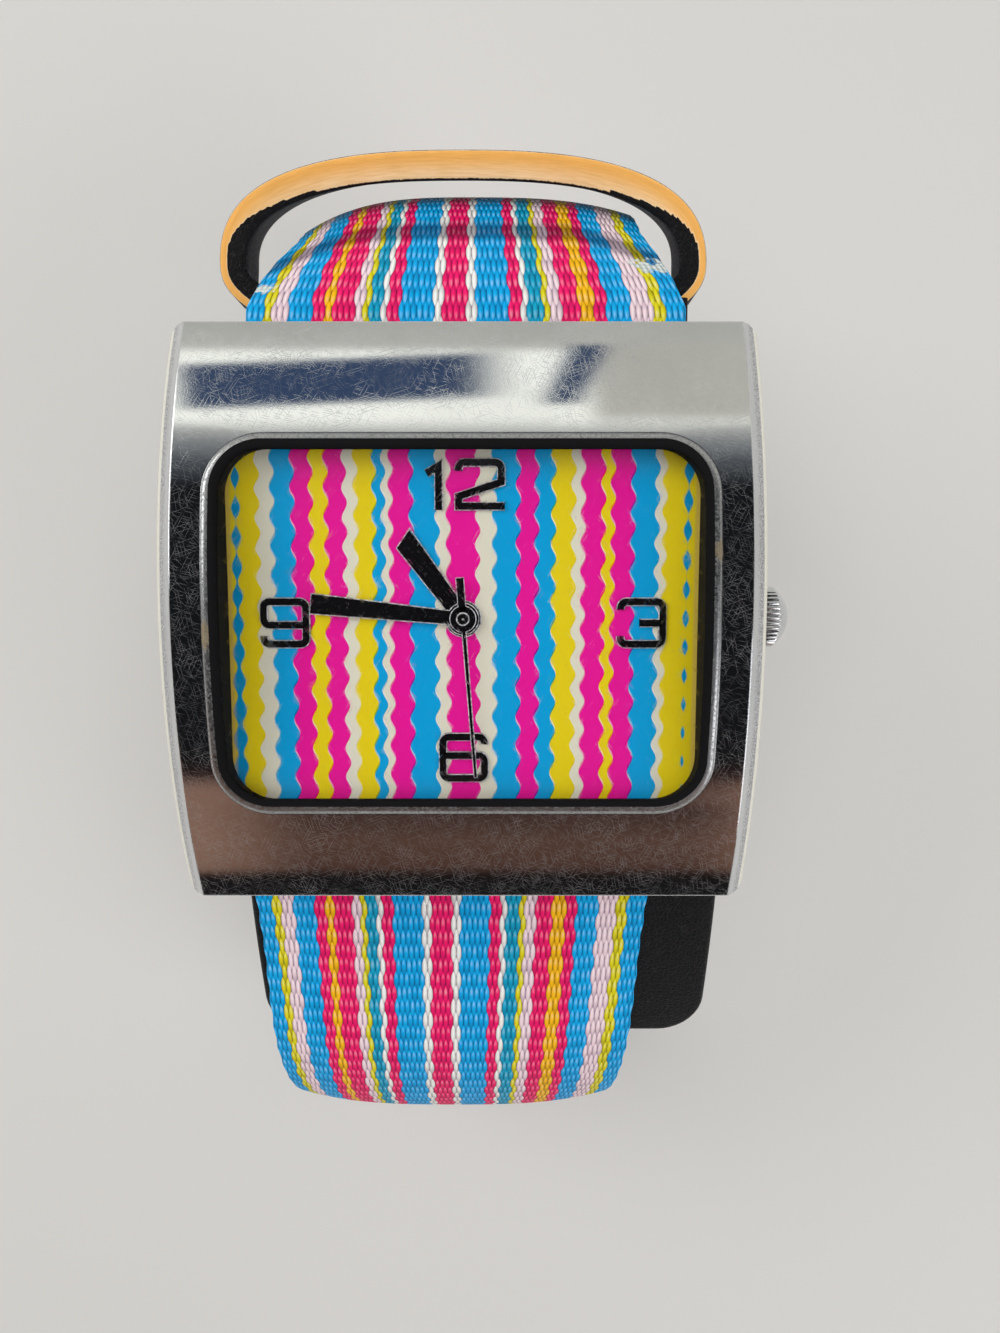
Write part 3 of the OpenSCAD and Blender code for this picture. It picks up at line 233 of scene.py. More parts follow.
class Shape:
    """Closed grids of points gathered into one piece.

    Every grid is a stack of rings; its faces join each ring to the next."""

    def __init__(self):
        self.points, self.faces, self.coords, self.tags, self.finish = [], [], [], [], []
        self.count = 0

    def rings(self, rings, loop=False, uv=None, tag=None, finish=None):
        """Adds a stack of closed rings, an array of (rings, points, 3) in metres. A looped
        stack joins its last ring to its first; any other stack closes flat at both ends.
        finish holds the finish of each face round a ring."""
        n, m = rings.shape[:2]
        index = np.arange(n * m).reshape(n, m)
        ends = [] if loop else [index[0, ::-1], index[-1]]
        if loop:
            index = np.vstack([index, index[:1]])
        after = np.roll(index, -1, axis=1)
        quads = np.stack([index[:-1], after[:-1], after[1:], index[1:]], axis=-1).reshape(-1, 4)
        kind = np.zeros(m, int) if finish is None else np.asarray(finish)
        self.finish += np.tile(kind, len(quads) // m).tolist() + [int(kind[0])] * len(ends)
        flat = rings.reshape(-1, 3)
        # A stack whose volume comes out below 0 is inside out, so its faces are turned.
        a, b, c, d = (flat[quads[:, k]] for k in range(4))
        volume = np.einsum("ij,ij->i", a, np.cross(b, c) + np.cross(c, d)).sum()
        for end in ends:
            ring = flat[end]
            volume += np.einsum("ij,j->", np.cross(ring, np.roll(ring, -1, axis=0)), ring.mean(0))
        if volume < 0:
            quads, ends = quads[:, ::-1], [end[::-1] for end in ends]
        self.faces += (quads + self.count).tolist() + [(end + self.count).tolist() for end in ends]
        self.points.append(flat)
        self.coords.append(np.zeros((n * m, 2)) if uv is None else uv.reshape(-1, 2))
        self.tags.append(np.zeros(n * m) if tag is None else tag.reshape(-1))
        self.count += n * m

    def mesh(self, name):
        """A bare mesh of the points and faces."""
        mesh = bpy.data.meshes.new(name)
        mesh.from_pydata(np.concatenate(self.points).tolist(), [], self.faces)
        return mesh

    def build(self, name, body, nodes, finishes, smooth):
        """Makes the piece: smooth faces with edges kept sharp past an angle, a UV map, a 'tag'
        attribute and the finish of each face."""
        mesh = self.mesh(name)
        layer = mesh.uv_layers.new(name="UVMap")
        corner = np.zeros(len(mesh.loops), int)
        mesh.loops.foreach_get("vertex_index", corner)
        coords = np.concatenate(self.coords)[corner]
        layer.data.foreach_set("uv", coords.astype(np.float32).ravel())
        tag = mesh.attributes.new("tag", "FLOAT", "POINT")
        tag.data.foreach_set("value", np.concatenate(self.tags).astype(np.float32))
        for finish in finishes:
            mesh.materials.append(finish)
        mesh.polygons.foreach_set("material_index", np.array(self.finish, np.int32))
        mesh.polygons.foreach_set("use_smooth", np.ones(len(mesh.polygons), bool))
        mesh.set_sharp_from_angle(angle=radians(smooth))
        mesh.update()
        mesh.validate()
        piece = link(name, mesh)
        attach(piece, body)
        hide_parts(*nodes)
        return piece


def link(name, data):
    """Puts a mesh, a lamp or a camera in the scene as an object."""
    item = bpy.data.objects.new(name, data)
    bpy.context.scene.collection.objects.link(item)
    return item


def dress(finish, *names):
    """Gives CAD nodes a finish in place of their plain colours."""
    for name in names:
        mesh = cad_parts[name].data
        mesh.materials.clear()
        mesh.materials.append(finish)


# Outlines and paths


def circle(r, count):
    """Outline of a circle, anticlockwise."""
    turn = np.linspace(0, 2 * pi, count, endpoint=False)
    return r * np.stack([np.cos(turn), np.sin(turn)], 1)


def round_rect(w, l, r, count):
    """Outline of a round-cornered rectangle, anticlockwise: quarter turns about its corners."""
    turn = np.linspace(0, pi / 2, count) + np.arange(4)[:, None] * pi / 2
    corners = np.array([(1, 1), (-1, 1), (-1, -1), (1, -1)]) * (w / 2 - r, l / 2 - r)
    return (corners[:, None] + r * np.stack([np.cos(turn), np.sin(turn)], 2)).reshape(-1, 2)


def dense(outline, step):
    """The closed outline with points added along its long edges, a step apart at most."""
    after = np.roll(outline, -1, axis=0)
    counts = np.ceil(np.linalg.norm(after - outline, axis=1) / step).astype(int)
    parts = [p + (q - p) * np.linspace(0, 1, max(1, count), endpoint=False)[:, None]
             for p, q, count in zip(outline, after, counts)]
    return np.concatenate(parts)


def unit(vectors):
    """Vectors at length 1."""
    return vectors / np.linalg.norm(vectors, axis=-1, keepdims=True)


def walked(path):
    """How far along a path each of its points lies."""
    return np.concatenate([[0], np.cumsum(np.linalg.norm(np.diff(path, axis=0), axis=1))])


def slope(values, start, end):
    """0 below start, 1 above end, and a straight rise between them."""
    return np.clip((values - start) / (end - start), 0, 1)


def soften(values, reach):
    """A running mean over a number of samples, with the ends held."""
    padded = np.concatenate([np.full(reach, values[0]), values, np.full(reach, values[-1])])
    kernel = np.hanning(2 * reach + 3)[1:-1]
    return np.convolve(padded, kernel / kernel.sum(), "valid")


def mitred(before, after):
    """Mitred normals, to the right of a path, from the sides before and after each point."""
    n1, n2 = (unit(np.stack([v[:, 1], -v[:, 0]], 1)) for v in (before, after))
    return (n1 + n2) / np.maximum(1 + (n1 * n2).sum(1)[:, None], 0.3)


def grown(outline, reach):
    """The closed outline moved outwards along its mitred normals by reach."""
    after = np.roll(outline, -1, axis=0) - outline
    return outline + reach * mitred(np.roll(after, 1, axis=0), after)


def storeys(levels):
    """A stack of rings from pairs of a flat outline and its height."""
    return np.stack([np.column_stack([flat, np.full(len(flat), z)]) for flat, z in levels])


# Finishes from nodes


def dimmed(shade, share):
    """A colour with each part times a share."""
    return tuple(share * part for part in shade)


class Sock:
    """An output of a node. Sums and products of values add their Math nodes."""

    def __init__(self, finish, socket):
        self.finish, self.socket = finish, socket

    def math(self, operation, *others):
        """A Math node on this value and others."""
        return self.finish.math(operation, self, *others)

    def __add__(self, other):
        return self.math("ADD", other)

    def __sub__(self, other):
        return self.math("SUBTRACT", other)

    def __rsub__(self, other):
        return self.finish.math("SUBTRACT", other, self)

    def __mul__(self, other):
        return self.math("MULTIPLY", other)

    def __truediv__(self, other):
        return self.math("DIVIDE", other)

    def __rtruediv__(self, other):
        return self.finish.math("DIVIDE", other, self)

    def __pow__(self, other):
        return self.math("POWER", other)

    def __gt__(self, other):
        return self.math("GREATER_THAN", other)

    def __lt__(self, other):
        return self.math("LESS_THAN", other)

    def __abs__(self):
        return self.math("ABSOLUTE")

    __radd__, __rmul__ = __add__, __mul__

    def sin(self):
        """The sine of this value."""
        return self.math("SINE")

    def cos(self):
        """The cosine of this value."""
        return self.math("COSINE")

    def floor(self):
        """The whole number below this value."""
        return self.math("FLOOR")

    def high(self, other):
        """The higher of this value and another."""
        return self.math("MAXIMUM", other)

    def over(self, start, end):
        """0 below start, 1 above end, and a smooth step between them."""
        return self.finish.node("MapRange", {"interpolation_type": "SMOOTHSTEP"},
                                {"Value": self, "From Min": start, "From Max": end})[0]

    def within(self, start, end, fade_in, fade_out):
        """1 between two places, with smooth steps over the widths of the two fades."""
        return self.over(start, start + fade_in) * (1.0 - self.over(end, end + fade_out))


class Outs:
    """The outputs of one node, by name or number."""

    def __init__(self, finish, node):
        self.finish, self.node = finish, node

    def __getitem__(self, key):
        return Sock(self.finish, self.node.outputs[key])


class Finish:
    """A material, or the world where given, written as expressions."""

    def __init__(self, name, world=None):
        self.material = world or bpy.data.materials.new(name)
        self.material.use_nodes = True
        self.tree = self.material.node_tree
        self.tree.nodes.clear()

    def node(self, kind, settings=None, inputs=None):
        """Adds a node: its settings first, then the values or links of its sockets."""
        node = self.tree.nodes.new("ShaderNode" + kind)
        for key, value in (settings or {}).items():
            if key == "stops":
                ramp = node.color_ramp
                while len(ramp.elements) > 1:
                    ramp.elements.remove(ramp.elements[-1])
                for i, (at, shade) in enumerate(value):
                    stop = ramp.elements[0] if i == 0 else ramp.elements.new(at)
                    stop.position, stop.color = at, (*shade, 1)
            elif key == "fade":
                node.color_ramp.interpolation = value
            else:
                setattr(node, key, value)
        for key, value in (inputs or {}).items():
            socket = node.inputs[key]
            if isinstance(value, Sock):
                self.tree.links.new(value.socket, socket)
            elif socket.type == "RGBA":
                socket.default_value = (*value[:3], 1)
            else:
                socket.default_value = value
        return Outs(self, node)

    def math(self, operation, *values):
        """A Math node on values, some of them sockets."""
        return self.node("Math", {"operation": operation}, dict(enumerate(values)))[0]

    def place(self):
        """Object coordinates in millimetres."""
        at = self.node("TexCoord")["Object"]
        return self.node("VectorMath", {"operation": "SCALE"}, {0: at, "Scale": 1 / MM})[0]

    def parts(self, vector):
        """X, Y and Z of a vector."""
        out = self.node("SeparateXYZ", None, {0: vector})
        return out[0], out[1], out[2]

    def join(self, x, y, z=0.0):
        """A vector from three values."""
        return self.node("CombineXYZ", None, {0: x, 1: y, 2: z})[0]

    def uv_place(self):
        """Across and along on the piece's own UV map."""
        x, y, _ = self.parts(self.node("UVMap", {"uv_map": "UVMap"})[0])
        return x, y

    def tag(self):
        """The piece's tag attribute."""
        return self.node("Attribute", {"attribute_name": "tag"})["Fac"]

    def chance(self, cell):
        """White noise: a random value and colour for each cell."""
        return self.node("TexWhiteNoise", {"noise_dimensions": "3D"}, {"Vector": cell})

    def noise(self, at, scale, detail=3.0, rough=0.5):
        """Fractal noise, about 0.5, with features 1 / scale long."""
        return self.node("TexNoise", {"noise_dimensions": "3D"},
                         {"Vector": at, "Scale": scale, "Detail": detail, "Roughness": rough})[0]

    def stretch(self, at, x, y, z, turn=0.0):
        """A vector turned about Z and then scaled on each axis."""
        turned = self.node("Mapping", {"vector_type": "POINT"},
                           {"Vector": at, "Rotation": (0, 0, turn)})[0]
        return self.node("VectorMath", {"operation": "MULTIPLY"}, {0: turned, 1: (x, y, z)})[0]

    def mix(self, share, a, b, blend="MIX"):
        """Colour a, or b where the share is 1."""
        return self.node("Mix", {"data_type": "RGBA", "blend_type": blend},
                         {0: share, 6: a, 7: b})[2]

    def ramp(self, value, stops, fade="LINEAR"):
        """A colour read off a ramp of (place, colour)."""
        return self.node("ValToRGB", {"stops": stops, "fade": fade}, {0: value})[0]

    def bump(self, height, depth, normal=None):
        """A normal tilted by a height whose full swing is depth millimetres."""
        inputs = {"Height": height, "Distance": depth * MM}
        if normal is not None:
            inputs["Normal"] = normal
        return self.node("Bump", None, inputs)[0]

    def edge(self, radius):
        """A normal that rounds the edges of a plain solid."""
        return self.node("Bevel", {"samples": 6}, {"Radius": radius * MM})[0]

    def surface(self, **inputs):
        """Ends the material in one shader. Names use _ for a space."""
        shader = self.node("BsdfPrincipled", None,
                           {key.replace("_", " "): value for key, value in inputs.items()})[0]
        self.node("OutputMaterial", None, {"Surface": shader})
        return self.material


def hairlines(f, at, turn, long, apart, share):
    """Scratches, 1 on a line: space is cut into cells, long by apart millimetres and turned
    about Z. A share of the cells holds one straight line at a random place and with a small
    random slant, which fades out to its ends."""
    thin = 0.014 / apart
    x, y, _ = f.parts(f.stretch(at, 1 / long, 1 / apart, 1.0, turn))
    column, row = x.floor(), y.floor()
    chance = f.chance(f.join(column, row, turn))["Color"]
    place, slant, there = f.parts(chance)
    u = x - column
    off = y - row - 0.2 - place * 0.6 - (u - 0.5) * (slant - 0.5) * 0.7
    line = 1.0 - abs(off).over(0.4 * thin, thin)
    return line * (there < share) * (u * pi).sin()


def scratches(f, at, turns, share):
    """Hairlines in several directions, short and long; 1 on a line."""
    first, *rest = (hairlines(f, at, turn, 0.8 + 0.4 * k, 0.15 + 0.03 * k, share)
                    for k, turn in enumerate(turns))
    for line in rest:
        first = first.high(line)
    return first


def chrome(name, c, rough, wear, edge, shine=1.0, black_zone=None, chips=(), satin=0):
    """Polished plating: hairlines that scatter light, rubbed haze, and the metal below in
    specks and pits, more with more wear. edge rounds the edges of a plain solid. black_zone is the
    half width, half length, corner and drop of the window, whose inside is painted black. Each chip
    is a place and a half length where the plating is gone. Beyond satin, a distance from
    the middle, the sides are finely brushed and painted pale cream as a highlight, behind a darker
    rim broken up by grit."""
    f = Finish(name)
    at = f.place()
    shade = dimmed(c.chrome, shine)
    line = scratches(f, at, (0.25, 0.8, 1.35, 2.05, 2.8), 0.42)
    line = line * (f.noise(at, 0.3, 3.0).over(0.3, 0.7) * 0.6 + 0.4)
    rubbed = f.noise(at, 0.17, 3.0).over(0.42, 0.62)
    grit = f.noise(at, 9.0, 3.0, 0.7)
    speck = f.noise(at, 5.0, 4.0, 0.7).over(0.66 - 0.16 * wear, 0.70)
    pits = f.noise(at, 6.0, 4.0, 0.7).over(0.47, 0.62) * (max(0.0, wear - 0.15) * 1.6)
    base = f.mix(rubbed * 0.15, shade, dimmed(shade, 0.7))
    base = f.mix(speck * wear, base, c.brass)
    base = f.mix(pits, base, dimmed(shade, 0.35))
    scatter = line * 0.2 + pits * 0.4
    haze = rubbed * 0.02 + grit * (0.03 * (1 + wear)) + line * 0.1 + pits * 0.3 + rough
    x, y, _ = f.parts(at)
    if satin:
        start = satin / MM
        # Painted highlight: past this distance the sides are painted pale cream. Just inside them
        # runs a darker rim, broken up by grit.
        side = abs(x).over(start - 0.1, start)
        rim = abs(x).over(start - 0.75, start - 0.3) * (1.0 - side) * grit.over(0.42, 0.6)
        base = f.mix(rim * 0.7, base, (0.10, 0.10, 0.11))
        base = f.mix(side, base, (0.90, 0.89, 0.80))
        scatter = scatter + (side * 0.4).high(rim * 0.5)
        haze = haze + side * 0.25
    for chip_x, chip_y, half in chips:
        off = abs(x - chip_x) * 1.4 + abs(y - chip_y) / half + (grit - 0.5) * 1.6
        gone = 1.0 - off.over(0.8, 1.1)
        base = f.mix(gone, base, (0.42, 0.36, 0.26))
        haze = haze + gone * 0.3
    if black_zone:
        wide, tall, corner, drop = (size / MM for size in black_zone)
        far_x = (abs(x) - (wide - corner)).high(0.0)
        far_y = (abs(y + drop) - (tall - corner)).high(0.0)
        zone = (far_x * far_x + far_y * far_y) < corner**2
        # The window's inside is painted near black.
        base = f.mix(zone, base, (0.006, 0.006, 0.007))
        scatter = scatter.high(zone)
        haze = haze + zone * 0.65
    height = grit * 0.5 - line * 0.25 - speck * (0.9 * wear)
    return f.surface(Base_Color=base, Metallic=1.0 - scatter,
                     Roughness=haze + speck * (0.35 * wear),
                     Specular_IOR_Level=0.15 if black_zone else 0.5,
                     Normal=f.bump(height, 0.0015 + 0.0025 * wear, f.edge(edge) if edge else None))


def brushed(name, shade, rough, edge=0.08):
    """Machined metal with a fine grain along X and a little tarnish."""
    f = Finish(name)
    at = f.place()
    streak = f.noise(f.stretch(at, 0.25, 9.0, 9.0), 1.0, 3.0)
    tarnish = f.noise(at, 0.45, 4.0).over(0.4, 0.8)
    return f.surface(Base_Color=f.mix(tarnish * 0.5, shade, dimmed(shade, 0.6)), Metallic=1.0,
                     Roughness=streak * 0.14 + (rough - 0.07),
                     Normal=f.bump(streak, 0.008, f.edge(edge)))


def moulded(name, shade, rough):
    """Moulded plastic or rubber: a soft grain, slight mottling, rounded edges."""
    f = Finish(name)
    at = f.place()
    fine = f.noise(at, 3.0, 3.0)
    mottle = f.noise(at, 0.3, 3.0).over(0.35, 0.7)
    return f.surface(Base_Color=f.mix(mottle * 0.6, shade, dimmed(shade, 0.8)),
                     Roughness=fine * 0.2 + (rough - 0.1),
                     Normal=f.bump(fine, 0.02, f.edge(0.1)))


# Stage


STUDIO = (
    (-90, (0.62, 0.61, 0.60)), (-78, (0.50, 0.49, 0.48)), (-69, (0.012, 0.012, 0.013)),
    (-63.5, (0.012, 0.010, 0.010)), (-61, (0.10, 0.050, 0.036)), (-54, (0.12, 0.064, 0.046)),
    (-47, (0.055, 0.030, 0.026)), (-43, (0.12, 0.064, 0.050)), (-38, (0.03, 0.018, 0.016)),
    (-33, (0.010, 0.010, 0.011)), (27, (0.010, 0.011, 0.013)), (33, (0.10, 0.11, 0.12)),
    (37, (0.28, 0.29, 0.29)), (40, (0.50, 0.50, 0.47)), (42, (1.25, 1.25, 1.12)),
    (57.5, (1.25, 1.25, 1.12)), (59, (0.62, 0.61, 0.55)), (64, (0.54, 0.53, 0.48)),
    (70, (0.6, 0.6, 0.57)), (90, (0.66, 0.66, 0.64)))


def studio():
    """The room round the watch, read off by direction: its tones follow the lean from straight
    up towards 12, and level directions are pale. A cool panel and a cool bar hang in the bright
    softbox, which is duller towards 3, and the brown tones are paler towards both ends. Seen
    straight, the room is plain pale grey."""
    f = Finish("", bpy.data.worlds.new("studio"))
    x, y, z = f.parts(f.node("TexCoord")["Generated"])
    lean = f.math("ARCTAN2", y, z) * (180 / pi)
    tone = f.ramp(lean / 180 + 0.5, [(at / 180 + 0.5, shade) for at, shade in STUDIO])
    side = lean.within(40, 58, 4, 4) * x.over(0.09, 0.12)
    tone = f.mix(side, tone, (0.60, 0.58, 0.51))
    hand = lean.within(-64, -42, 3, 5) * abs(x).over(0.2, 0.34)
    tone = f.mix(hand, tone, (0.30, 0.17, 0.12))
    panel = (lean - x * 9).within(46.5, 57, 1.5, 1.5) * x.within(-0.35, -0.05, 0.025, 0.08)
    off = abs(x - 0.078 - (lean - 50) * 0.0022)
    bar = lean.within(45, 59, 1, 1) * (1.0 - off.over(0.012, 0.03))
    tone = f.mix(panel.high(bar), tone, (0.045, 0.075, 0.15))
    tone = f.mix(1.0 - z.over(0.16, 0.3), tone, (0.92, 0.90, 0.84))
    tone = f.mix(f.node("LightPath")["Is Camera Ray"], tone, (0.66, 0.65, 0.63))
    f.node("OutputWorld", None, {"Surface": f.node("Background", None, {"Color": tone})[0]})
    return f.material


# Name, place, size, power and tint of each lamp. The overhead one only lights; the metal and
# the glass reflect the world in its place.
LAMPS = (
    ("overhead", (0.0, 0.04, 0.6), (0.6, 0.6), 2.3, (1, 1, 0.99)),
    ("key", (-0.42, 0.22, 0.36), (0.36, 0.3), 1.0, (1, 0.99, 0.97)),
    ("fill", (0.36, -0.2, 0.34), (0.3, 0.3), 0.7, (0.97, 0.98, 1)))


class WATCH_OT_stage(bpy.types.Operator):
    """Sets the floor, the lamps, the world and the camera"""

    bl_idname = "watch.stage"
    bl_label = "Stage"

    def execute(self, context):
        scene = context.scene
        scene.view_settings.view_transform = "Standard"
        scene.world = studio()
        f = Finish("floor_plain")
        tone = f.noise(f.place(), 0.02, 2.0) * 0.15
        base = f.mix(tone, scene.watch_colours.floor, (0.62, 0.61, 0.6))
        floor = bpy.data.meshes.new("floor")
        far = 1.6
        floor.from_pydata([(-far, -far, 0), (far, -far, 0), (far, far, 0), (-far, far, 0)], [],
                          [(0, 1, 2, 3)])
        floor.materials.append(f.surface(Base_Color=base, Roughness=0.6, Specular_IOR_Level=0.3))
        ground = link("floor", floor)

        for name, at, size, power, tint in LAMPS:
            lamp = bpy.data.lights.new(name, "AREA")
            lamp.shape = "RECTANGLE"
            lamp.size, lamp.size_y = size
            lamp.energy = power
            lamp.color = tint
            holder = link(name, lamp)
            holder.location = at
            holder.visible_glossy = holder.visible_transmission = name != "overhead"
            aim = Vector(at) - Vector((0, 0, 0.04))
            holder.rotation_euler = aim.to_track_quat("Z", "Y").to_euler()

        # The lens is 850 / 1333 of the picture's height: a field of about 76 degrees.
        view = bpy.data.cameras.new("camera")
        view.sensor_fit = "VERTICAL"
        view.sensor_height = 36
        view.lens = view.sensor_height * 850 / 1333
        view.clip_start = 0.001
        camera = link("camera", view)
        camera.location = (0.0026, 0.0024, scene.watch_case.dial_h + 0.0605)
        camera.rotation_euler = Euler((radians(-5.5), 0, 0))
        scene.camera = camera
        return {"FINISHED"}


# Case, window, crown


class WATCH_OT_case(bpy.types.Operator):
    """Finishes the case, its back cover, screws and seals"""

    bl_idname = "watch.case"
    bl_label = "Case"

    def execute(self, context):
        s, c = context.scene.watch_case, context.scene.watch_colours
        play = 0.7 * MM
        inside = (s.window_w / 2 + play, s.window_l / 2 + play, s.window_r + play, s.window_drop)
        dress(chrome("case_chrome", c, 0.03, 0.12, 0.15, black_zone=inside, satin=s.side_x),
              "case_body")
        dress(brushed("back_steel", (0.62, 0.62, 0.6), 0.22), "case_back")
        dress(brushed("screw_steel", (0.7, 0.7, 0.7), 0.2, 0.05), "back_screws")
        dress(moulded("seal_rubber", c.rubber, 0.6), "crystal_gasket", "back_gasket", "crown_seal")
        return {"FINISHED"}


class WATCH_OT_window(bpy.types.Operator):
    """Sweeps the bright bead round the window and finishes the glass"""

    bl_idname = "watch.window"
    bl_label = "Window"

    def execute(self, context):
        s, c = context.scene.watch_case, context.scene.watch_colours
        self.bead(s, c)
        f = Finish("crystal_glass")
        line = scratches(f, f.place(), (0.9, 2.1), 0.16)
        glass = f.node("BsdfPrincipled", None, {
            "Base Color": (1, 1, 1), "Transmission Weight": 1.0, "IOR": 1.5,
            "Roughness": line * 0.2, "Normal": f.bump(line, 0.002)})[0]
        clear = f.node("BsdfTransparent", None, {"Color": (0.96, 0.97, 0.97)})[0]
        shadow = f.node("LightPath")["Is Shadow Ray"]
        both = f.node("MixShader", None, {0: shadow, 1: glass, 2: clear})[0]
        f.node("OutputMaterial", None, {"Surface": both})
        dress(f.material, "crystal")
        return {"FINISHED"}

    def bead(self, s, c):
        """The bead: a ring of (distance outside the window, radius about the bow's axis) carried
        round the window's outline. Its height follows the bow, z = axis + sqrt(r2 - y2)."""
        top, low = s.bow_r + s.bead_h, s.bow_r - s.bead_foot
        seat = s.bow_r + s.crystal_step
        lip = seat + 0.08 * MM
        a = np.linspace(0, pi / 2, 6)
        inner = np.stack([-s.bead_in + 0.45 * MM * (1 - np.cos(a)),
                          lip + (top - lip) * np.sin(a)], 1)
        outer = np.stack([s.bead_out - 0.4 * MM * (1 - np.sin(a)),
                          top - 0.34 * MM * (1 - np.cos(a))], 1)
        legs = np.array([[s.bead_out, low], [s.bead_out - s.bead_leg, low],
                         [s.bead_out - s.bead_leg, seat], [-s.bead_in, seat]])
        ring = np.concatenate([inner, outer, legs])
        outline = dense(round_rect(s.window_w, s.window_l, s.window_r, 16), 0.5 * MM)
        rows = np.stack([grown(outline, off) for off in ring[:, 0]], 1)
        y = rows[:, :, 1] - s.window_drop
        z = s.dial_h + s.front_h - s.bow_r + np.sqrt(ring[None, :, 1] ** 2 - y**2)
        shape = Shape()
        shape.rings(np.stack([rows[:, :, 0], y, z], 2), loop=True)
        wall = (s.window_w / 2 + 0.32 * MM, s.window_l / 2 + 0.38 * MM, s.window_r + 0.32 * MM,
                s.window_drop - 0.12 * MM)
        finish = chrome("bead_chrome", c, 0.25, 0.6, 0, 0.66, wall,
                        ((-17.2, -1.0, 1.1), (17.3, 4.7, 0.8)))
        shape.build("bead", "case", ["crystal_bezel"], [finish], 50)


class WATCH_OT_crown(bpy.types.Operator):
    """Turns the domed, knurled crown"""

    bl_idname = "watch.crown"
    bl_label = "Crown"

    def execute(self, context):
        s, c = context.scene.watch_case, context.scene.watch_colours
        # A profile of (distance out, radius, share of the knurls) turned about the crown's axis.
        # The radius dips by the knurl's depth times that share times a raised cosine of the angle.
        turn = np.linspace(0, 2 * pi, s.knurl_n * 8, endpoint=False)
        r, edge = s.crown_r, s.crown_r - s.knurl_d
        ball = (edge**2 + s.crown_dome**2) / (2 * s.crown_dome)
        a = np.linspace(0.002, 1, 14) * asin(edge / ball)
        dome = np.stack([s.crown_band + s.crown_dome - ball * (1 - np.cos(a)), ball * np.sin(a),
                         0 * a], 1)
        band = np.array([[s.crown_band - 0.05 * MM, r - 0.06 * MM, 0.6],
                         [s.crown_band - 0.16 * MM, r, 1], [s.crown_band * 0.5, r, 1],
                         [0.16 * MM, r, 1], [0.06 * MM, r - 0.05 * MM, 0.8],
                         [0, r - 0.22 * MM, 0.2], [0, s.crown_bore + 0.05 * MM, 0],
                         [0.06 * MM, s.crown_bore, 0], [s.crown_depth, s.crown_bore, 0],
                         [s.crown_depth, 0.01 * MM, 0]])
        out, radius, share = np.concatenate([dome, band]).T[:, :, None]
        dip = (0.5 - 0.5 * np.cos(s.knurl_n * turn)) ** 1.5
        radius = radius - s.knurl_d * share * dip
        x, z = s.crown_x + out + 0 * turn, s.dial_h - s.crown_z + radius * np.sin(turn)
        shape = Shape()
        shape.rings(np.stack([x, radius * np.cos(turn), z], 2))
        shape.build("crown_knob", "crown_stem", ["crown"],
                    [chrome("crown_chrome", c, 0.12, 0.25, 0)], 60)
        dress(brushed("fitting_steel", (0.6, 0.6, 0.6), 0.2, 0.05), "crown_tube", "setting_stem",
              "setting_yoke", "spring_bar_12", "spring_bar_6")
        return {"FINISHED"}


# Dial


DIAL_STRIPES = (
    ("yellow", 0.066), ("cream", 0.097), ("blue", 0.138), ("magenta", 0.176), ("yellow", 0.210),
    ("magenta", 0.248), ("cream", 0.272), ("yellow", 0.310), ("blue", 0.331), ("cream", 0.345),
    ("magenta", 0.390), ("blue", 0.445), ("cream", 0.466), ("magenta", 0.531), ("cream", 0.566),
    ("blue", 0.614), ("magenta", 0.655), ("blue", 0.690), ("yellow", 0.734), ("cream", 0.752),
    ("magenta", 0.793), ("yellow", 0.814), ("magenta", 0.859), ("blue", 0.907), ("cream", 0.924),
    ("yellow", 1.0))


class WATCH_OT_dial(bpy.types.Operator):
    """Prints the dial's wavy stripes"""

    bl_idname = "watch.dial"
    bl_label = "Dial"

    def execute(self, context):
        """The stripes' edges follow one cosine along 12 to 6. The right-hand colour's edge is
        printed a little late, so that the ground shows on one flank of each wave and both inks
        lie over each other on the other flank. A chain of blue lenses runs near either end."""
        c, wide = context.scene.watch_colours, context.scene.watch_case.window_w / MM
        wave = 2.04
        f = Finish("dial_print")
        at = f.place()
        x, y, _ = f.parts(at)
        drift = f.noise(f.join(x * 0.5, y * 0.12), 1.0, 1.0) - 0.5
        phase = (y - x * 0.0128 - 2.07 + drift * 0.35) * (2 * pi / wave)
        stops = striped(DIAL_STRIPES, c, "")
        share = (x - drift * 0.12) / wide + 0.5
        first, late = (share - (phase + turn).cos() * (0.19 / wide) for turn in (0.0, -0.6))
        ground, other = (f.ramp(part, stops, "CONSTANT") for part in (first, late))
        differ = f.node("VectorMath", {"operation": "DISTANCE"}, {0: ground, 1: other})["Value"]
        light = f.mix(0.55, ground, (1, 1, 1))
        both = f.mix(1.0, ground, other, "MULTIPLY")
        sliver = f.mix(first > late, f.mix(0.12, both, ground), light)
        print_ = f.mix((differ > 0.05) * 0.85, ground, sliver)
        for middle, mean, more in ((-15.95, 0.24, 0.012), (15.75, 0.06, -0.011)):
            off = abs(x - middle - y * 0.006) - ((phase + 0.8).cos() * 0.16 + mean - y * more)
            print_ = f.mix((1.0 - off.over(0.0, 0.14)) * 0.45, print_, (0.45, 0.62, 0.20))
            print_ = f.mix(1.0 - off.over(-0.03, 0.03), print_, dimmed(c.blue, 0.85))
        # Painted shade: the dial turns brownish at its side edges, beside the window's walls.
        rim = abs(x).over(16.15, 16.45)
        print_ = f.mix(rim * 0.6, print_, (0.72, 0.50, 0.16))
        fleck = f.noise(at, 5.0, 3.0).over(0.66, 0.72)
        base = f.mix(fleck * 0.25, print_, (0.25, 0.2, 0.25))
        dress(f.surface(Base_Color=base, Roughness=fleck * 0.2 + 0.4, Specular_IOR_Level=0.3,
                        Normal=f.bump(fleck, 0.004)), "dial_plate")
        return {"FINISHED"}


def striped(stripes, c, kind):
    """A ramp's stops from pairs of a colour's name and where its stripe ends."""
    starts = [0.0] + [end for _, end in stripes]
    return [(start, getattr(c, kind + name)) for (name, _), start in zip(stripes, starts)]


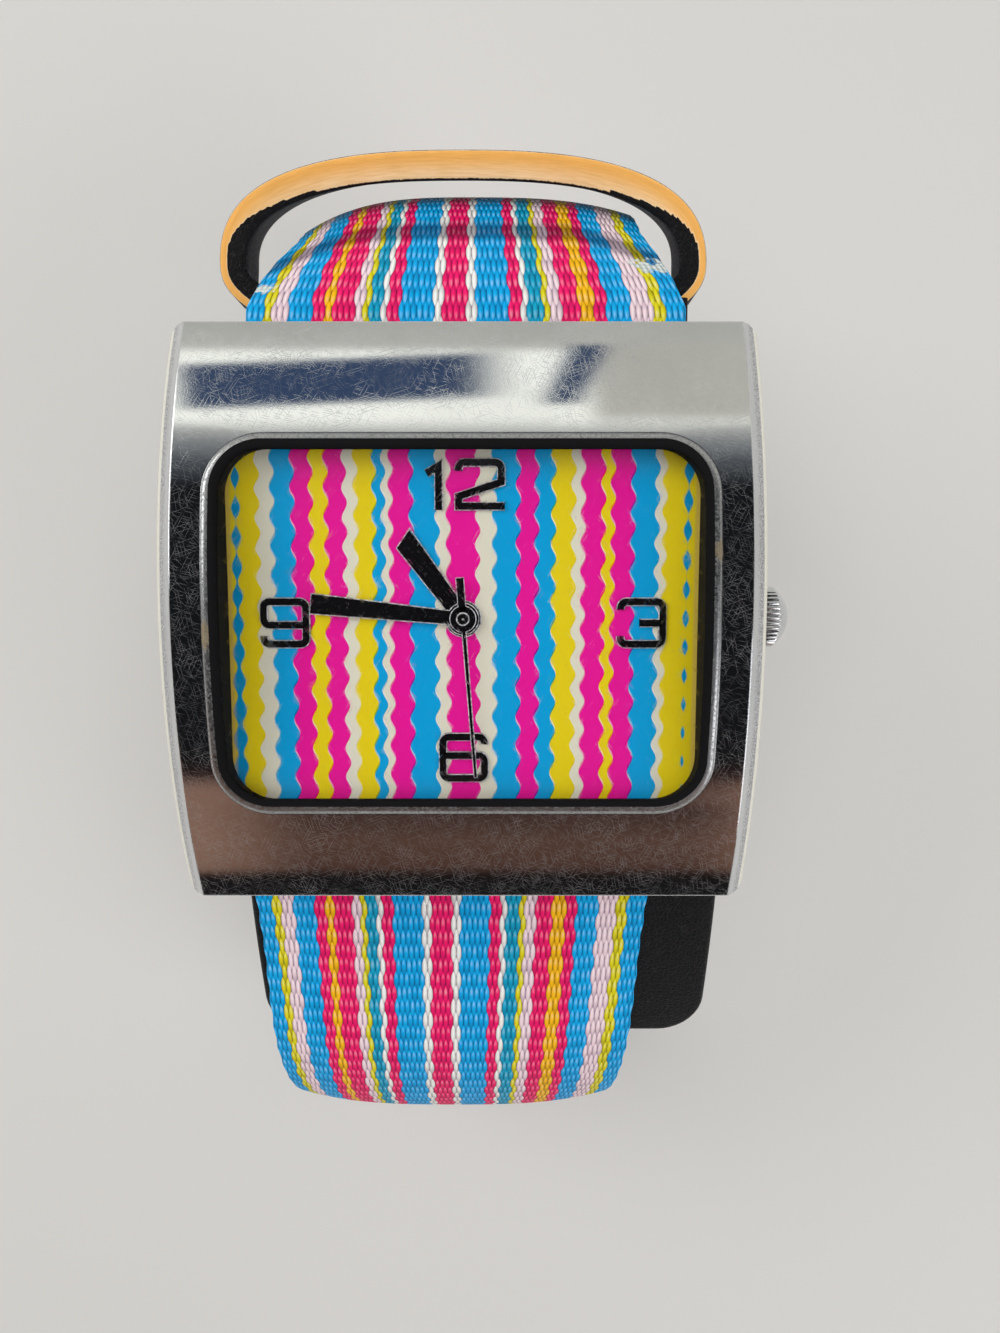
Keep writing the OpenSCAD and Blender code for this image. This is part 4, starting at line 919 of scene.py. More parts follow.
def stroke(shape, path, s, base, closed=False):
    """Carries a bevelled bar along a flat path: its side rises to part of its height, its bevel
    leans in to the flat top, and both ends lean in alike. base is its lower height."""
    path = np.asarray(path, float)
    w, h, lean = s.stroke / 2 + 0.04 * MM, s.raised, 0.06 * MM
    if closed:
        after, before = np.roll(path, -1, axis=0) - path, path - np.roll(path, 1, axis=0)
    else:
        sides = np.diff(path, axis=0)
        after, before = np.vstack([sides, sides[-1:]]), np.vstack([sides[:1], sides])
    rise = h * 0.62
    ring = np.array([[-w, 0], [-w, rise], [-w + lean, h], [w - lean, h], [w, rise], [w, 0]])
    flat = path[:, None] + mitred(before, after)[:, None] * ring[None, :, 0, None]
    if not closed:
        back = np.array([0, 0, lean, lean, 0, 0])[:, None]
        flat[0] += back * unit(after[0])
        flat[-1] -= back * unit(after[-1])
    z = np.broadcast_to(base + ring[None, :, 1, None], flat.shape[:2] + (1,))
    shape.rings(np.concatenate([flat, z], 2), loop=closed, finish=[0, 1, 0, 1, 0, 0])


def turned(path, places, r):
    """The path with a round corner of radius r at each of the given places: a quarter turn from
    one side to the other, centre - b cos(turn) - a sin(turn)."""
    turn = np.linspace(0, pi / 2, 5)[:, None]
    out = []
    for i, p in enumerate(np.asarray(path, float)):
        if i in places:
            a, b = (r * unit(np.array(path[k % len(path)]) - p) for k in (i - 1, i + 1))
            out += list(p + a + b - b * np.cos(turn) - a * np.sin(turn))
        else:
            out.append(p)
    return np.array(out)


class WATCH_OT_numerals(bpy.types.Operator):
    """Raises the four numerals"""

    bl_idname = "watch.numerals"
    bl_label = "Numerals"

    def execute(self, context):
        s, case = context.scene.watch_dial, context.scene.watch_case
        finishes = inks(context.scene.watch_colours)
        half, r = (s.size - s.stroke) / 2, 0.42 * MM

        def at(x, y, places, turn=1):
            """Places given as shares of half a numeral, moved to the numeral's middle."""
            return [(x + turn * half * p[0], y + turn * half * p[1]) for p in places]

        level = -case.window_drop / 2
        spots = {"numeral_12": (0, s.along), "numeral_3": (s.across, level),
                 "numeral_6": (0, -case.window_drop - s.along), "numeral_9": (-s.across, level)}
        for name, (x, y) in spots.items():
            bars, closed = [], []
            if name == "numeral_12":
                left, right = x - 1.42 * MM - s.stroke / 2, x - 0.55 * MM + s.size / 2
                bars.append([(left, y - s.size / 2), (left, y + half - 0.25 * MM),
                             (left - 0.85 * MM, y + half - 0.75 * MM)])
                path = at(right, y, [(-1, 0.62), (-1, 1), (1, 1), (1, 0.1), (-1, -0.55), (-1, -1),
                                     (1.17, -1)])
                bars.append(turned(path, (1, 2), r))
            elif name == "numeral_3":
                path = at(x, y, [(-1, 0.62), (-1, 1), (1, 1), (1, -1), (-1, -1), (-1, -0.62)])
                bars += [turned(path, (1, 2, 3, 4), r), at(x, y, [(-0.1, 0), (1, 0)])]
            else:
                flip = -1 if name == "numeral_9" else 1
                path = at(x, y, [(-1, 0.1), (-1, 1), (1, 1), (1, 0.62)], flip)
                bars.append(turned(path, (1, 2), r))
                path = at(x, y, [(-1, 0.1), (1, 0.1), (1, -1), (-1, -1)], flip)
                closed.append(turned(path, (1, 2, 3), r))
            shape = Shape()
            for path in bars:
                stroke(shape, path, s, case.dial_h)
            for path in closed:
                stroke(shape, path, s, case.dial_h, closed=True)
            shape.build(name + "_raised", "case", [name], finishes, 20)
        return {"FINISHED"}


def inks(c):
    """Black lacquer and its bright bevel, shared by the numerals and the hands."""
    names = ("hand_ink", "hand_bright")
    if names[0] not in bpy.data.materials:
        f = Finish(names[0])
        dust = f.noise(f.place(), 4.0, 4.0).over(0.55, 0.8)
        f.surface(Base_Color=f.mix(dust * 0.25, c.ink, (0.08, 0.08, 0.09)),
                  Roughness=dust * 0.2 + 0.22, Specular_IOR_Level=0.3, Normal=f.bump(dust, 0.004))
        f = Finish(names[1])
        grain = f.noise(f.place(), 5.0, 3.0)
        f.surface(Base_Color=f.mix(grain.over(0.35, 0.6), (0.2, 0.2, 0.21), (0.8, 0.8, 0.82)),
                  Metallic=0.2, Roughness=grain * 0.2 + 0.3)
    return [bpy.data.materials[name] for name in names]


def flat_piece(shape, outline, low, high, lean):
    """A flat piece whose bright sides rise from its outline and lean in to its black top: the
    outline at three heights, the last drawn in by lean."""
    levels = [(outline, low), (outline, (low + high) / 2), (grown(outline, -lean), high)]
    shape.rings(storeys(levels), finish=np.ones(len(outline), int))
    shape.finish[-1] = 0


class WATCH_OT_hands(bpy.types.Operator):
    """Makes the three hands, black with bright bevels"""

    bl_idname = "watch.hands"
    bl_label = "Hands"

    def execute(self, context):
        s, dial_h = context.scene.watch_dial, context.scene.watch_case.dial_h
        finishes = inks(context.scene.watch_colours)

        def bar(wide, far_w, far, slant, r):
            """Outline of a hand that points to 12: round its hub, then out to its tip."""
            start = asin(wide / 2 / r)
            a = np.linspace(pi / 2 + start, 5 * pi / 2 - start, 40)
            hub = r * np.stack([np.cos(a), np.sin(a)], 1)
            return np.vstack([hub, [[far_w / 2, far], [-far_w / 2, far - slant]]])

        # Name, outline, angle, height over the dial and lean of the sides of each hand.
        hands = (
            ("hour", bar(s.hour_w * 0.8, s.hour_w, s.hour_l, 0.55 * MM, 1.3 * MM), s.hour_at,
             0.15 * MM, 0.07 * MM),
            ("minute", bar(s.minute_w * 0.7, s.minute_w, s.minute_l, 0, 1.15 * MM), s.minute_at,
             0.37 * MM, 0.07 * MM),
            ("second", bar(s.second_w, s.second_w * 0.8, s.second_l, 0, 0.95 * MM), s.second_at,
             0.59 * MM, 0.06 * MM))
        for name, plan, at, level, lean in hands:
            spin = np.array([[cos(at), -sin(at)], [sin(at), cos(at)]])
            low = dial_h + level
            high = low + s.hand_t
            shape = Shape()
            flat_piece(shape, plan @ spin, low, high, lean)
            if name == "second":
                tail = np.array([[-0.3, -2.9], [0.3, -2.9], [0.3, -0.5], [-0.3, -0.5]]) * MM
                flat_piece(shape, tail @ spin, low, high, 0.05 * MM)
                flat_piece(shape, circle(0.5 * MM, 40), low, low + 0.2 * MM, 0.12 * MM)
                flat_piece(shape, circle(0.2 * MM, 40), low, low + 0.23 * MM, 0.17 * MM)
            shape.build(name + "_pointer", name, [name + "_hand"], finishes, 20)
        return {"FINISHED"}


# Ribbon


RIBBON_STRIPES = (
    ("blue", 0.045), ("yellow", 0.064), ("pale", 0.094), ("blue", 0.153), ("pink", 0.180),
    ("orange", 0.203), ("pink", 0.247), ("pale", 0.268), ("yellow", 0.284), ("teal", 0.312),
    ("white", 0.325), ("pink", 0.352), ("blue", 0.423), ("white", 0.446), ("pink", 0.501),
    ("white", 0.523), ("blue", 0.601), ("pink", 0.627), ("white", 0.639), ("teal", 0.671),
    ("yellow", 0.687), ("pale", 0.714), ("pink", 0.756), ("orange", 0.786), ("pink", 0.816),
    ("blue", 0.874), ("pale", 0.916), ("yellow", 0.944), ("blue", 1.0))


def bend(course, radius, turn):
    """Adds an arc to a course of (out, height, heading below level): the centre lies a radius
    to the side that it turns to."""
    y, z, h = course[-1]
    reach = np.sign(turn) * radius
    steps = max(2, int(np.ceil(abs(turn) * radius / (0.3 * MM))))
    a = h + turn * np.arange(1, steps + 1) / steps
    arc = np.stack([y + reach * (np.sin(a) - sin(h)), z + reach * (np.cos(a) - cos(h)), a], 1)
    return np.vstack([course, arc])


def run(course, reach):
    """Adds a straight to a course."""
    y, z, h = course[-1]
    steps = max(2, int(np.ceil(reach / (0.3 * MM))))
    t = reach * np.arange(1, steps + 1) / steps
    return np.vstack([course, np.stack([y + t * cos(h), z - t * sin(h), 0 * t + h], 1)])


class Course:
    """The strap's sizes, and the courses of its two halves as rows of (out, height, heading)."""

    def __init__(self, context):
        self.strap = context.scene.watch_strap
        self.bar_h = context.scene.watch_case.dial_h - self.strap.bar_z

    def __getattr__(self, name):
        return getattr(self.strap, name)

    def fold(self, heading):
        """The start of a course: once round the spring bar, then off below it."""
        h = radians(heading) + np.linspace(radians(255), 0, 40)
        return np.stack([self.bar_y - self.fold_r * np.sin(h),
                         self.bar_h - self.fold_r * np.cos(h), h], 1)

    def upper(self):
        """Runs and bends of the half at 12, down to the buckle's bar and round it."""
        c = self.fold(2)
        c = bend(bend(run(c, 4.3 * MM), 15 * MM, radians(65)), 45 * MM, radians(23))
        out, high = c[-1, 0], c[-1, 1]
        low = high - self.lap
        c = run(bend(c, low, pi / 2), out - low - self.buckle_y)
        return bend(c, self.fold_r, radians(255)), out

    def lower(self):
        """Runs and bends of the half at 6, down to the floor and along it to the tip."""
        c = self.fold(30)
        c = run(bend(run(c, 6.4 * MM), 8 * MM, radians(-16)), 13.5 * MM)
        c = bend(bend(c, 22.5 * MM, radians(43)), 24 * MM, radians(33))
        out, high = c[-1, 0], c[-1, 1]
        low = high - self.thick / 2
        return run(bend(c, low, pi / 2), out - low + self.tail_y), out


def ribbon(course, left, right, curls, s, side):
    """The woven band: a thin oval ring, flat on both faces, carried along a course. Its width
    runs from left to right, its edges curl in by their own curl times the cube of the share
    across, and its selvedge swells with every row of the weave. side is 1 towards 12 and -1
    towards 6."""
    along = walked(course[:, :2])[:, None]
    a = np.linspace(0, pi, 7)
    t = np.linspace(-1, 1, 36)[1:-1]
    across = np.concatenate([t, 1 + 0 * a, -t, -1 + 0 * a])
    face = np.concatenate([1 + 0 * t, np.cos(a), -1 + 0 * t, -np.cos(a)])
    bulge = np.concatenate([0 * t, np.sin(a), 0 * t, -np.sin(a)])
    swell = 0.07 * MM * np.sin(pi * along / (s.tight_row if side > 0 else s.row))
    half = (right - left)[:, None] / 2 - 0.3 * MM + swell * np.abs(bulge)
    x = (left + right)[:, None] / 2 + half * across + 0.3 * MM * bulge
    curl = np.where(across < 0, curls[0][:, None], curls[1][:, None])
    lift = face * s.thick / 2 - curl * np.abs(across) ** 3
    out, height, heading = course.T[:, :, None]
    y = side * (out + lift * np.sin(heading))
    z = height + lift * np.cos(heading)
    share = (across * 0.98 + bulge * 0.02) * 0.5 + 0.5
    uv = np.stack([share + 0 * x, along / MM + 0 * x], 2)
    return np.stack([x, y, z], 2), uv


def frays(shape, s, roots, seed):
    """Loose threads: thin tubes, each along a helix that widens and drifts away from its root.
    roots are (place, drift, length, share across the stripes), in millimetres."""
    chance = np.random.default_rng(seed)
    t = np.linspace(0, 1, 26)[:, None]
    ring = circle(1, 5)[:, None]
    for place, drift, reach, share in roots:
        swing, start = chance.uniform(0.6, 1.6), chance.uniform(0, 2 * pi)
        way = unit(np.array(drift) + chance.normal(0, 0.25, 3))
        side = unit(np.cross(way, (0.3, 0.5, 0.81)))
        third = np.cross(way, side)
        coil = start + 2 * pi * swing * t
        swung = (np.cos(coil) - cos(start)) * side + (np.sin(coil) - sin(start)) * third
        path = place + t * reach * (way + 0.22 * swung)
        along = unit(np.gradient(path, axis=0))
        one = unit(np.cross(along, third))
        two = np.cross(along, one)
        r = chance.uniform(0.025, 0.045) * (1 - 0.5 * t[:, None])
        rings = path[:, None] + r * (ring[:, :, 0] * one[:, None] + ring[:, :, 1] * two[:, None])
        uv = np.broadcast_to([share, s.tight_row / MM], rings.shape[:2] + (2,))
        shape.rings(rings * MM, uv=uv)


def cut_out(piece, shape):
    """Takes a shape's solids out of a piece."""
    tool = link("tool", shape.mesh("tool"))
    change = piece.modifiers.new("holes", "BOOLEAN")
    change.operation, change.solver, change.object = "DIFFERENCE", "EXACT", tool
    bpy.context.view_layer.update()
    graph = bpy.context.evaluated_depsgraph_get()
    done = bpy.data.meshes.new_from_object(piece.evaluated_get(graph))
    if not len(done.polygons):
        raise RuntimeError("Nothing is left of " + piece.name + " once its holes are cut")
    piece.modifiers.clear()
    piece.data = done
    bpy.data.objects.remove(tool)


def weave(c, s, name, worn=False):
    """Warp-faced plain weave. The floats of one row and those of the next, set off by half a
    float, are two layers of domes longer than a row; the higher dome shows, so that the floats
    interlock and the stripes' borders scallop. Each float's dye is darkened as painted shade at
    its edges and on its half away from the case, and lightened as a painted highlight on its half
    towards the case. Worn cloth has a band of painted shade across its crease, and bald places at
    its edges where the pale weft shows."""
    f = Finish(name)
    share, along = f.uv_place()
    ends, pick = float(round(s.width / s.end)), (s.tight_row if worn else s.row) / MM
    dyes = striped(RIBBON_STRIPES, c, "thread_")
    layers = []
    for k in (0.0, 0.5):
        u, v = share * ends + k, along / (2 * pick) + k
        col, row = u.floor(), v.floor()
        off, up = u - col - 0.5, v - row - 0.5
        tone = f.chance(f.join(col, row, k))["Value"]
        dye = f.ramp((col + (0.5 - k)) / ends, dyes, "CONSTANT")
        layers.append((1.0 - off * off * 3.2 - up * up * 6.0, up, tone, dye))
    (dome, up, tone, dye), (dome_2, up_2, tone_2, dye_2) = layers
    top = dome_2 > dome
    lens = dome.high(dome_2)
    up, tone = up + (up_2 - up) * top, tone + (tone_2 - tone) * top
    dye = f.mix(top, dye, dye_2)
    fibre = f.noise(f.join(share * (ends * 6.0), along * 0.9, tone * 5.0), 1.0, 2.0)
    # Painted shade: the dye darkened, laid on each float's edges and on its half away from the
    # case.
    deep = f.mix(1.0, dye, (0.30, 0.26, 0.36), "MULTIPLY")
    base = f.mix(1.0 - lens.over(0.12, 0.6), dye, deep)
    base = f.mix((up + tone * 0.3).over(0.12, 0.6) * 0.6, base, deep)
    # Painted highlight: a paler dye on each float's half towards the case, streaked by the fibres.
    glow = f.mix(1.0, f.mix(0.45, dye, (1.0, 1.0, 1.0)), (0.95, 0.97, 1.0), "MULTIPLY")
    shine = lens.over(0.55, 0.95) * (1.0 - (up + 0.16 + (tone - 0.5) * 0.16).over(0.0, 0.2))
    base = f.mix(shine * (fibre.over(0.3, 0.7) * 0.45 + 0.2), base, glow)
    if worn:
        # Painted shade: a dark band across the upper half at its crease, nearer the case towards
        # the edges.
        far = (abs(share - 0.5) - 0.27).high(0.0) ** 1.5
        fold = along - s.crease / MM + far * 26 + (fibre - 0.5) * 0.5
        crease_shade = fold.within(-1.5, 0.3, 1.1, 1.5)
        base = f.mix(crease_shade * 0.9, base, (0.32, 0.31, 0.36), "MULTIPLY")
        weft = ((along * (2 * pi / 0.34)).sin() * 0.5 + 0.5) * 0.35 + 0.65
        pale = f.mix(weft, (0.30, 0.38, 0.40), (0.72, 0.78, 0.76))
        ragged = f.noise(f.join(share * 40.0, along * 1.6, 7.0), 1.0, 3.0)
        # Place across and along, and half the size across and along, of each bald place.
        for x, y, half_x, half_y in ((0.965, 16.2, 0.06, 0.75), (0.02, 14.3, 0.035, 0.55)):
            dx, dy = (share - x) / half_x, (along - y) / half_y
            bald = 1.0 - (dx * dx + dy * dy + (ragged - 0.5) * 5.0).over(0.4, 1.1)
            base = f.mix(bald, base, pale)
    return f.surface(Base_Color=base, Roughness=fibre * 0.2 + 0.45, Specular_IOR_Level=0.12,
                     Normal=f.bump(lens + fibre * 0.12, 0.2))


class WATCH_OT_ribbon(bpy.types.Operator):
    """Weaves the two halves of the ribbon"""

    bl_idname = "watch.ribbon"
    bl_label = "Ribbon"

    def execute(self, context):
        c, s = context.scene.watch_colours, Course(context)
        self.upper(s, weave(c, s, "ribbon_weave_worn", True))
        self.lower(s, weave(c, s, "ribbon_weave"))
        return {"FINISHED"}

    def upper(self, s, cloth):
        """The half at 12: its width narrows with the distance out, then stays at the tail's."""
        course, out = s.upper()
        u, widest = course[:, 0], int(np.argmax(course[:, 0]))
        wide = np.interp(u, [s.taper_at, s.shoulder_at, s.shoulder_end, out],
                         [s.width, s.mid_w, s.mid_w, s.tail_w])
        wide[widest:] = s.tail_w
        wide = soften(wide, 7)
        ramp = slope(u, 22 * MM, 33 * MM)
        ramp[widest:] = slope(u[widest:], 12 * MM, 22 * MM)
        curls = [soften(curl * ramp, 6) for curl in (s.droop, s.crown)]
        shape = Shape()
        rings, uv = ribbon(course, -wide / 2, wide / 2, curls, s, 1)
        shape.rings(rings, uv=uv)
        frays(shape, s, self.roots(rings[:widest], uv[:widest, 0, 1]), 4)
        piece = shape.build("upper_ribbon_woven", "strap_12", ["upper_ribbon"],
                            [cloth], 60)
        # The slot for the tang, cut through the fold round the buckle's bar.
        half, back, front = s.slot_w / 2, s.buckle_y - 3.1 * MM, s.buckle_y + 2.5 * MM
        box = np.array([(-half, back), (half, back), (half, front), (-half, front)])
        tool = Shape()
        tool.rings(storeys([(box, -1 * MM), (box, 2 * (s.lap + s.fold_r))]))
        cut_out(piece, tool)

    def roots(self, rings, along):
        """Where the loose threads start: most at the edge towards 3, in bunches near the
        crease, and one in nine at the edge towards 9."""
        chance = np.random.default_rng(12)
        roots = []
        for i in range(46):
            left = i % 9 == 0
            if left:
                at = chance.normal(14.2, 0.5)
            else:
                at = chance.choice((15.7, 16.4, 17.6, 19.4)) + chance.normal(0, 0.5)
            ring = rings[int(np.argmin(np.abs(along - at)))] / MM
            edge = ring[np.argmin(ring[:, 0]) if left else np.argmax(ring[:, 0])]
            place = edge - np.array([-0.25 if left else 0.25, 0, 0.1])
            drift = (-0.5, 0.4, 0.9) if left else (0.35, chance.choice((-0.2, 0.9)), 0.8)
            roots.append((place, drift, chance.uniform(0.5, 1.7), chance.choice((0.7, 0.99, 0.31))))
        return roots

    def lower(self, s, cloth):
        """The half at 6: it narrows with the cube of the distance out to its widest reach, and
        with a smooth step from there to its tail, whose tip is round."""
        course, out = s.lower()
        u, widest = course[:, 0], int(np.argmax(course[:, 0]))
        first = slope(u, s.bar_y, out)
        wide = s.width + (s.side_w - s.width) * first**3
        shift = s.shift + (s.side_shift - s.shift) * first
        near = out - (course[widest, 1] - s.thick / 2)
        second = 1 - slope(u[widest:], near, out)
        second = second * second * (3 - 2 * second)
        wide[widest:] = s.side_w + (s.tail_w - s.side_w) * second
        shift[widest:] = s.side_shift * (1 - second)
        tip = slope(-u, s.tail_y - s.tip_r, s.tail_y) * (np.arange(len(u)) > widest)
        wide, shift = soften(wide, 9), soften(shift, 9)
        wide = wide - 2 * s.tip_r * (1 - np.sqrt(np.clip(1 - tip**2, 0.0004, 1)))
        ramp = slope(u, 22 * MM, 30 * MM)
        ramp[widest:] = slope(course[widest:, 1], 3 * MM, 13 * MM)
        curl = soften(s.crown * ramp, 6)
        shape = Shape()
        rings, uv = ribbon(course, -shift - wide / 2, -shift + wide / 2, (curl, curl), s, -1)
        rings[:, :, 2] = np.maximum(rings[:, :, 2], 0)
        shape.rings(rings, uv=uv)
        piece = shape.build("lower_ribbon_woven", "strap_6", ["lower_ribbon"],
                            [cloth], 60)
        tool = Shape()
        for i in range(5):
            hole = circle(s.eyelet_r, 32) + (0, s.eyelet_first - i * s.eyelet_pitch)
            tool.rings(storeys([(hole, -1 * MM), (hole, 3 * MM)]))
        cut_out(piece, tool)


# Leather


def leather(c, name):
    """Dyed leather: pebbled matte faces with creases and dust, and a raw cut edge with fibres
    along it where the tag is above 0. The tag runs from the pale core to the cut's own tan."""
    f = Finish(name)
    at = f.place()
    edge = f.tag()
    cell = f.node("TexVoronoi", {"feature": "DISTANCE_TO_EDGE"}, {"Vector": at, "Scale": 2.4})[0]
    fine = f.noise(at, 6.0, 4.0)
    dust = f.noise(at, 1.6, 5.0, 0.7).over(0.55, 0.8)
    face = f.mix(dust * 0.08, c.leather, (0.3, 0.3, 0.34))
    u, v = f.uv_place()
    fibre = f.noise(f.join(u * 7.0, v * 0.5), 1.0, 4.0)
    raw = f.mix(edge.over(0.72, 0.95), c.core, c.cut)
    raw = f.mix(fibre.over(0.3, 0.75) * 0.35, raw, dimmed(c.cut, 0.72))
    raw = f.mix(f.noise(at, 0.35, 2.0).over(0.4, 0.7) * 0.2, raw, dimmed(c.cut, 0.8))
    ragged = (edge + (f.noise(at, 5.0, 4.0, 0.7) - 0.5) * 0.9).over(0.3, 0.42)
    height = (cell.over(0.0, 0.16) * 0.6 + fine * 0.5) * (1.0 - ragged) + fibre * ragged * 0.6
    return f.surface(Base_Color=f.mix(ragged, face, raw),
                     Roughness=fine * 0.25 + 0.42 + ragged * 0.15, Specular_IOR_Level=0.25,
                     Normal=f.bump(height, 0.07))


class WATCH_OT_leather(bpy.types.Operator):
    """Cuts the leather pad and its loop"""

    bl_idname = "watch.leather"
    bl_label = "Leather"

    def execute(self, context):
        s, hide = context.scene.watch_leather, leather(context.scene.watch_colours, "pad_leather")
        self.pad(s, hide)
        self.loop(s, hide, context.scene.watch_case.dial_h)
        return {"FINISHED"}

    def pad(self, s, hide):
        """The pad: its outline drawn in towards its middle ring by ring on the upper face, round
        its edge and back on the lower face, and bent about an axis along X. rows are (share of
        the outline, how far it is drawn in, depth)."""
        outline = dense(round_rect(s.width, s.start + s.end, s.corner, 10), 1.2 * MM)
        t, r = s.thick, 0.5 * MM
        turn = np.linspace(0, pi / 2, 5)
        shares = np.linspace(0.001, 1, 22)[:-1]
        rows = [(k, r, 0) for k in shares]
        rows += [(1, r * (1 - np.sin(a)), r * (1 - np.cos(a))) for a in turn]
        rows += [(1, r * (1 - np.cos(a)), t - r * (1 - np.sin(a))) for a in turn]
        rows += [(k, r, t) for k in shares[::-1]]
        rings, tags = [], []
        for k, draw, depth in rows:
            x, y = (grown(outline, -draw) * k + (s.shift, (s.start - s.end) / 2)).T
            arc = np.sqrt((s.radius - depth) ** 2 - (y - s.crest) ** 2)
            rings.append(np.stack([x, y, s.top - s.radius + arc], 1))
            tags.append(np.full(len(x), 1.0 if 0.3 * t < depth < 0.7 * t else 0.0))
        rings = np.array(rings)
        shape = Shape()
        shape.rings(rings, uv=rings[:, :, :2] / MM, tag=np.array(tags))
        shape.build("leather_pad_cut", "case", ["leather_pad"], [hide], 60)

    def loop(self, s, hide, dial):
        """The loop: a round-edged strip on edge, carried along a superellipse. Its frame is the
        outline's normal and the vertical, turned by a lean that is greatest at the crest; the
        strip's height shrinks from its crest to its feet. The dyed inner face reaches over the
        cut edge, and further towards the sides."""
        b = s.loop_y - s.loop_mid
        foot = s.loop_mid - b / 2
        a = np.radians(np.linspace(-30, 210, 240))
        low = np.sin(a) < 0
        power, reach = np.where(low, 1.1, 0.77), np.where(low, s.loop_foot_b, b)
        path = np.stack([side * np.sign(part) * np.abs(part) ** power
                         for side, part in ((s.loop_a, np.cos(a)), (reach, np.sin(a)))], 1)
        path += (-s.loop_shift, s.loop_mid)
        walk = walked(path)
        even = np.linspace(0, walk[-1], 220)
        path = np.stack([soften(np.interp(even, walk, part), 2) for part in path.T], 1)
        x, y = unit(np.gradient(path, axis=0)).T
        normal = np.stack([y, -x, 0 * x], 1)
        facing = np.clip(normal[:, 1], 0, 1)
        lean = (s.loop_lean * facing**1.6)[:, None, None]
        far = slope(path[:, 1], foot, s.loop_y)

        # The strip's ring: its share across the thickness, and down its height, where below 0
        # and above 1 it bulges.
        r = 0.28
        top, side = np.linspace(-1 + r, 1 - r, 13), np.linspace(0, 1, 5)
        ring = np.concatenate([
            np.stack([0 * side - 1, side], 1), [[-1 + r * 0.3, 1.04]],
            np.stack([top, 0 * top + 1.07], 1), [[1 - r * 0.3, 1.04]],
            np.stack([0 * side + 1, side[::-1]], 1), [[1 - r * 0.3, -0.04]],
            np.stack([top[::-1], 0 * top - 0.07], 1), [[-1 + r * 0.3, -0.04]]])
        across, level = ring.T
        tall = (s.loop_low + (s.loop_h - s.loop_low) * far)[:, None]
        edge = np.clip(level, 0, 1)
        deep = tall * (1 - edge) - (level - edge) * 2.2 * MM
        up = np.array([0, 0, 1.0])
        sideways = normal[:, None] * np.cos(lean) + up * np.sin(lean)
        down = normal[:, None] * np.sin(lean) - up * np.cos(lean)
        crest = np.column_stack([path, dial - s.loop_depth - s.loop_drop * (1 - far)])
        reach = across * s.thick / 2
        rings = crest[:, None] + sideways * reach[:, None] + down * deep[..., None]
        tan_share = (0.27 + 0.63 * facing**2)[:, None]
        cut = (level > 1.01) | (level < -0.01)
        tag = np.where(cut & (across > 1 - 2 * tan_share), 0.7 + 0.15 * (across + 1), 0.0)
        uv = np.stack([reach + 0 * deep, even[:, None] + 0 * deep], 2) / MM
        shape = Shape()
        shape.rings(rings, uv=uv, tag=tag)

        # Two tabs of one flat section each run from the loop's feet to under the pad.
        under = s.top - s.radius + sqrt((s.radius - s.thick) ** 2 - (s.start - s.crest) ** 2)
        section = round_rect(s.tab_w, s.tab_t, 0.3 * MM, 4) + (0, under - 0.04 * MM - s.tab_t / 2)
        y = np.linspace(s.tab_y, foot + s.tab_t, 12)[:, None]
        for side in (-1, 1):
            x, z = section.T
            x = x + s.loop_shift + side * s.tab_x
            rings = np.stack(np.broadcast_arrays(x, y, z), 2)
            shape.rings(rings, uv=rings[:, :, :2] / MM)
        shape.build("leather_loop_cut", "case", ["pad_loop"], [hide], 60)


# Buckle and movement


class WATCH_OT_buckle(bpy.types.Operator):
    """Finishes the buckle and the eyelets"""

    bl_idname = "watch.buckle"
    bl_label = "Buckle"

    def execute(self, context):
        c = context.scene.watch_colours
        dress(chrome("buckle_chrome", c, 0.1, 0.2, 0.25), "buckle_frame", "buckle_bar",
              "buckle_tang")
        dress(chrome("eyelet_chrome", c, 0.14, 0.4, 0.08), *(f"eyelet_{i}" for i in range(1, 6)))
        return {"FINISHED"}


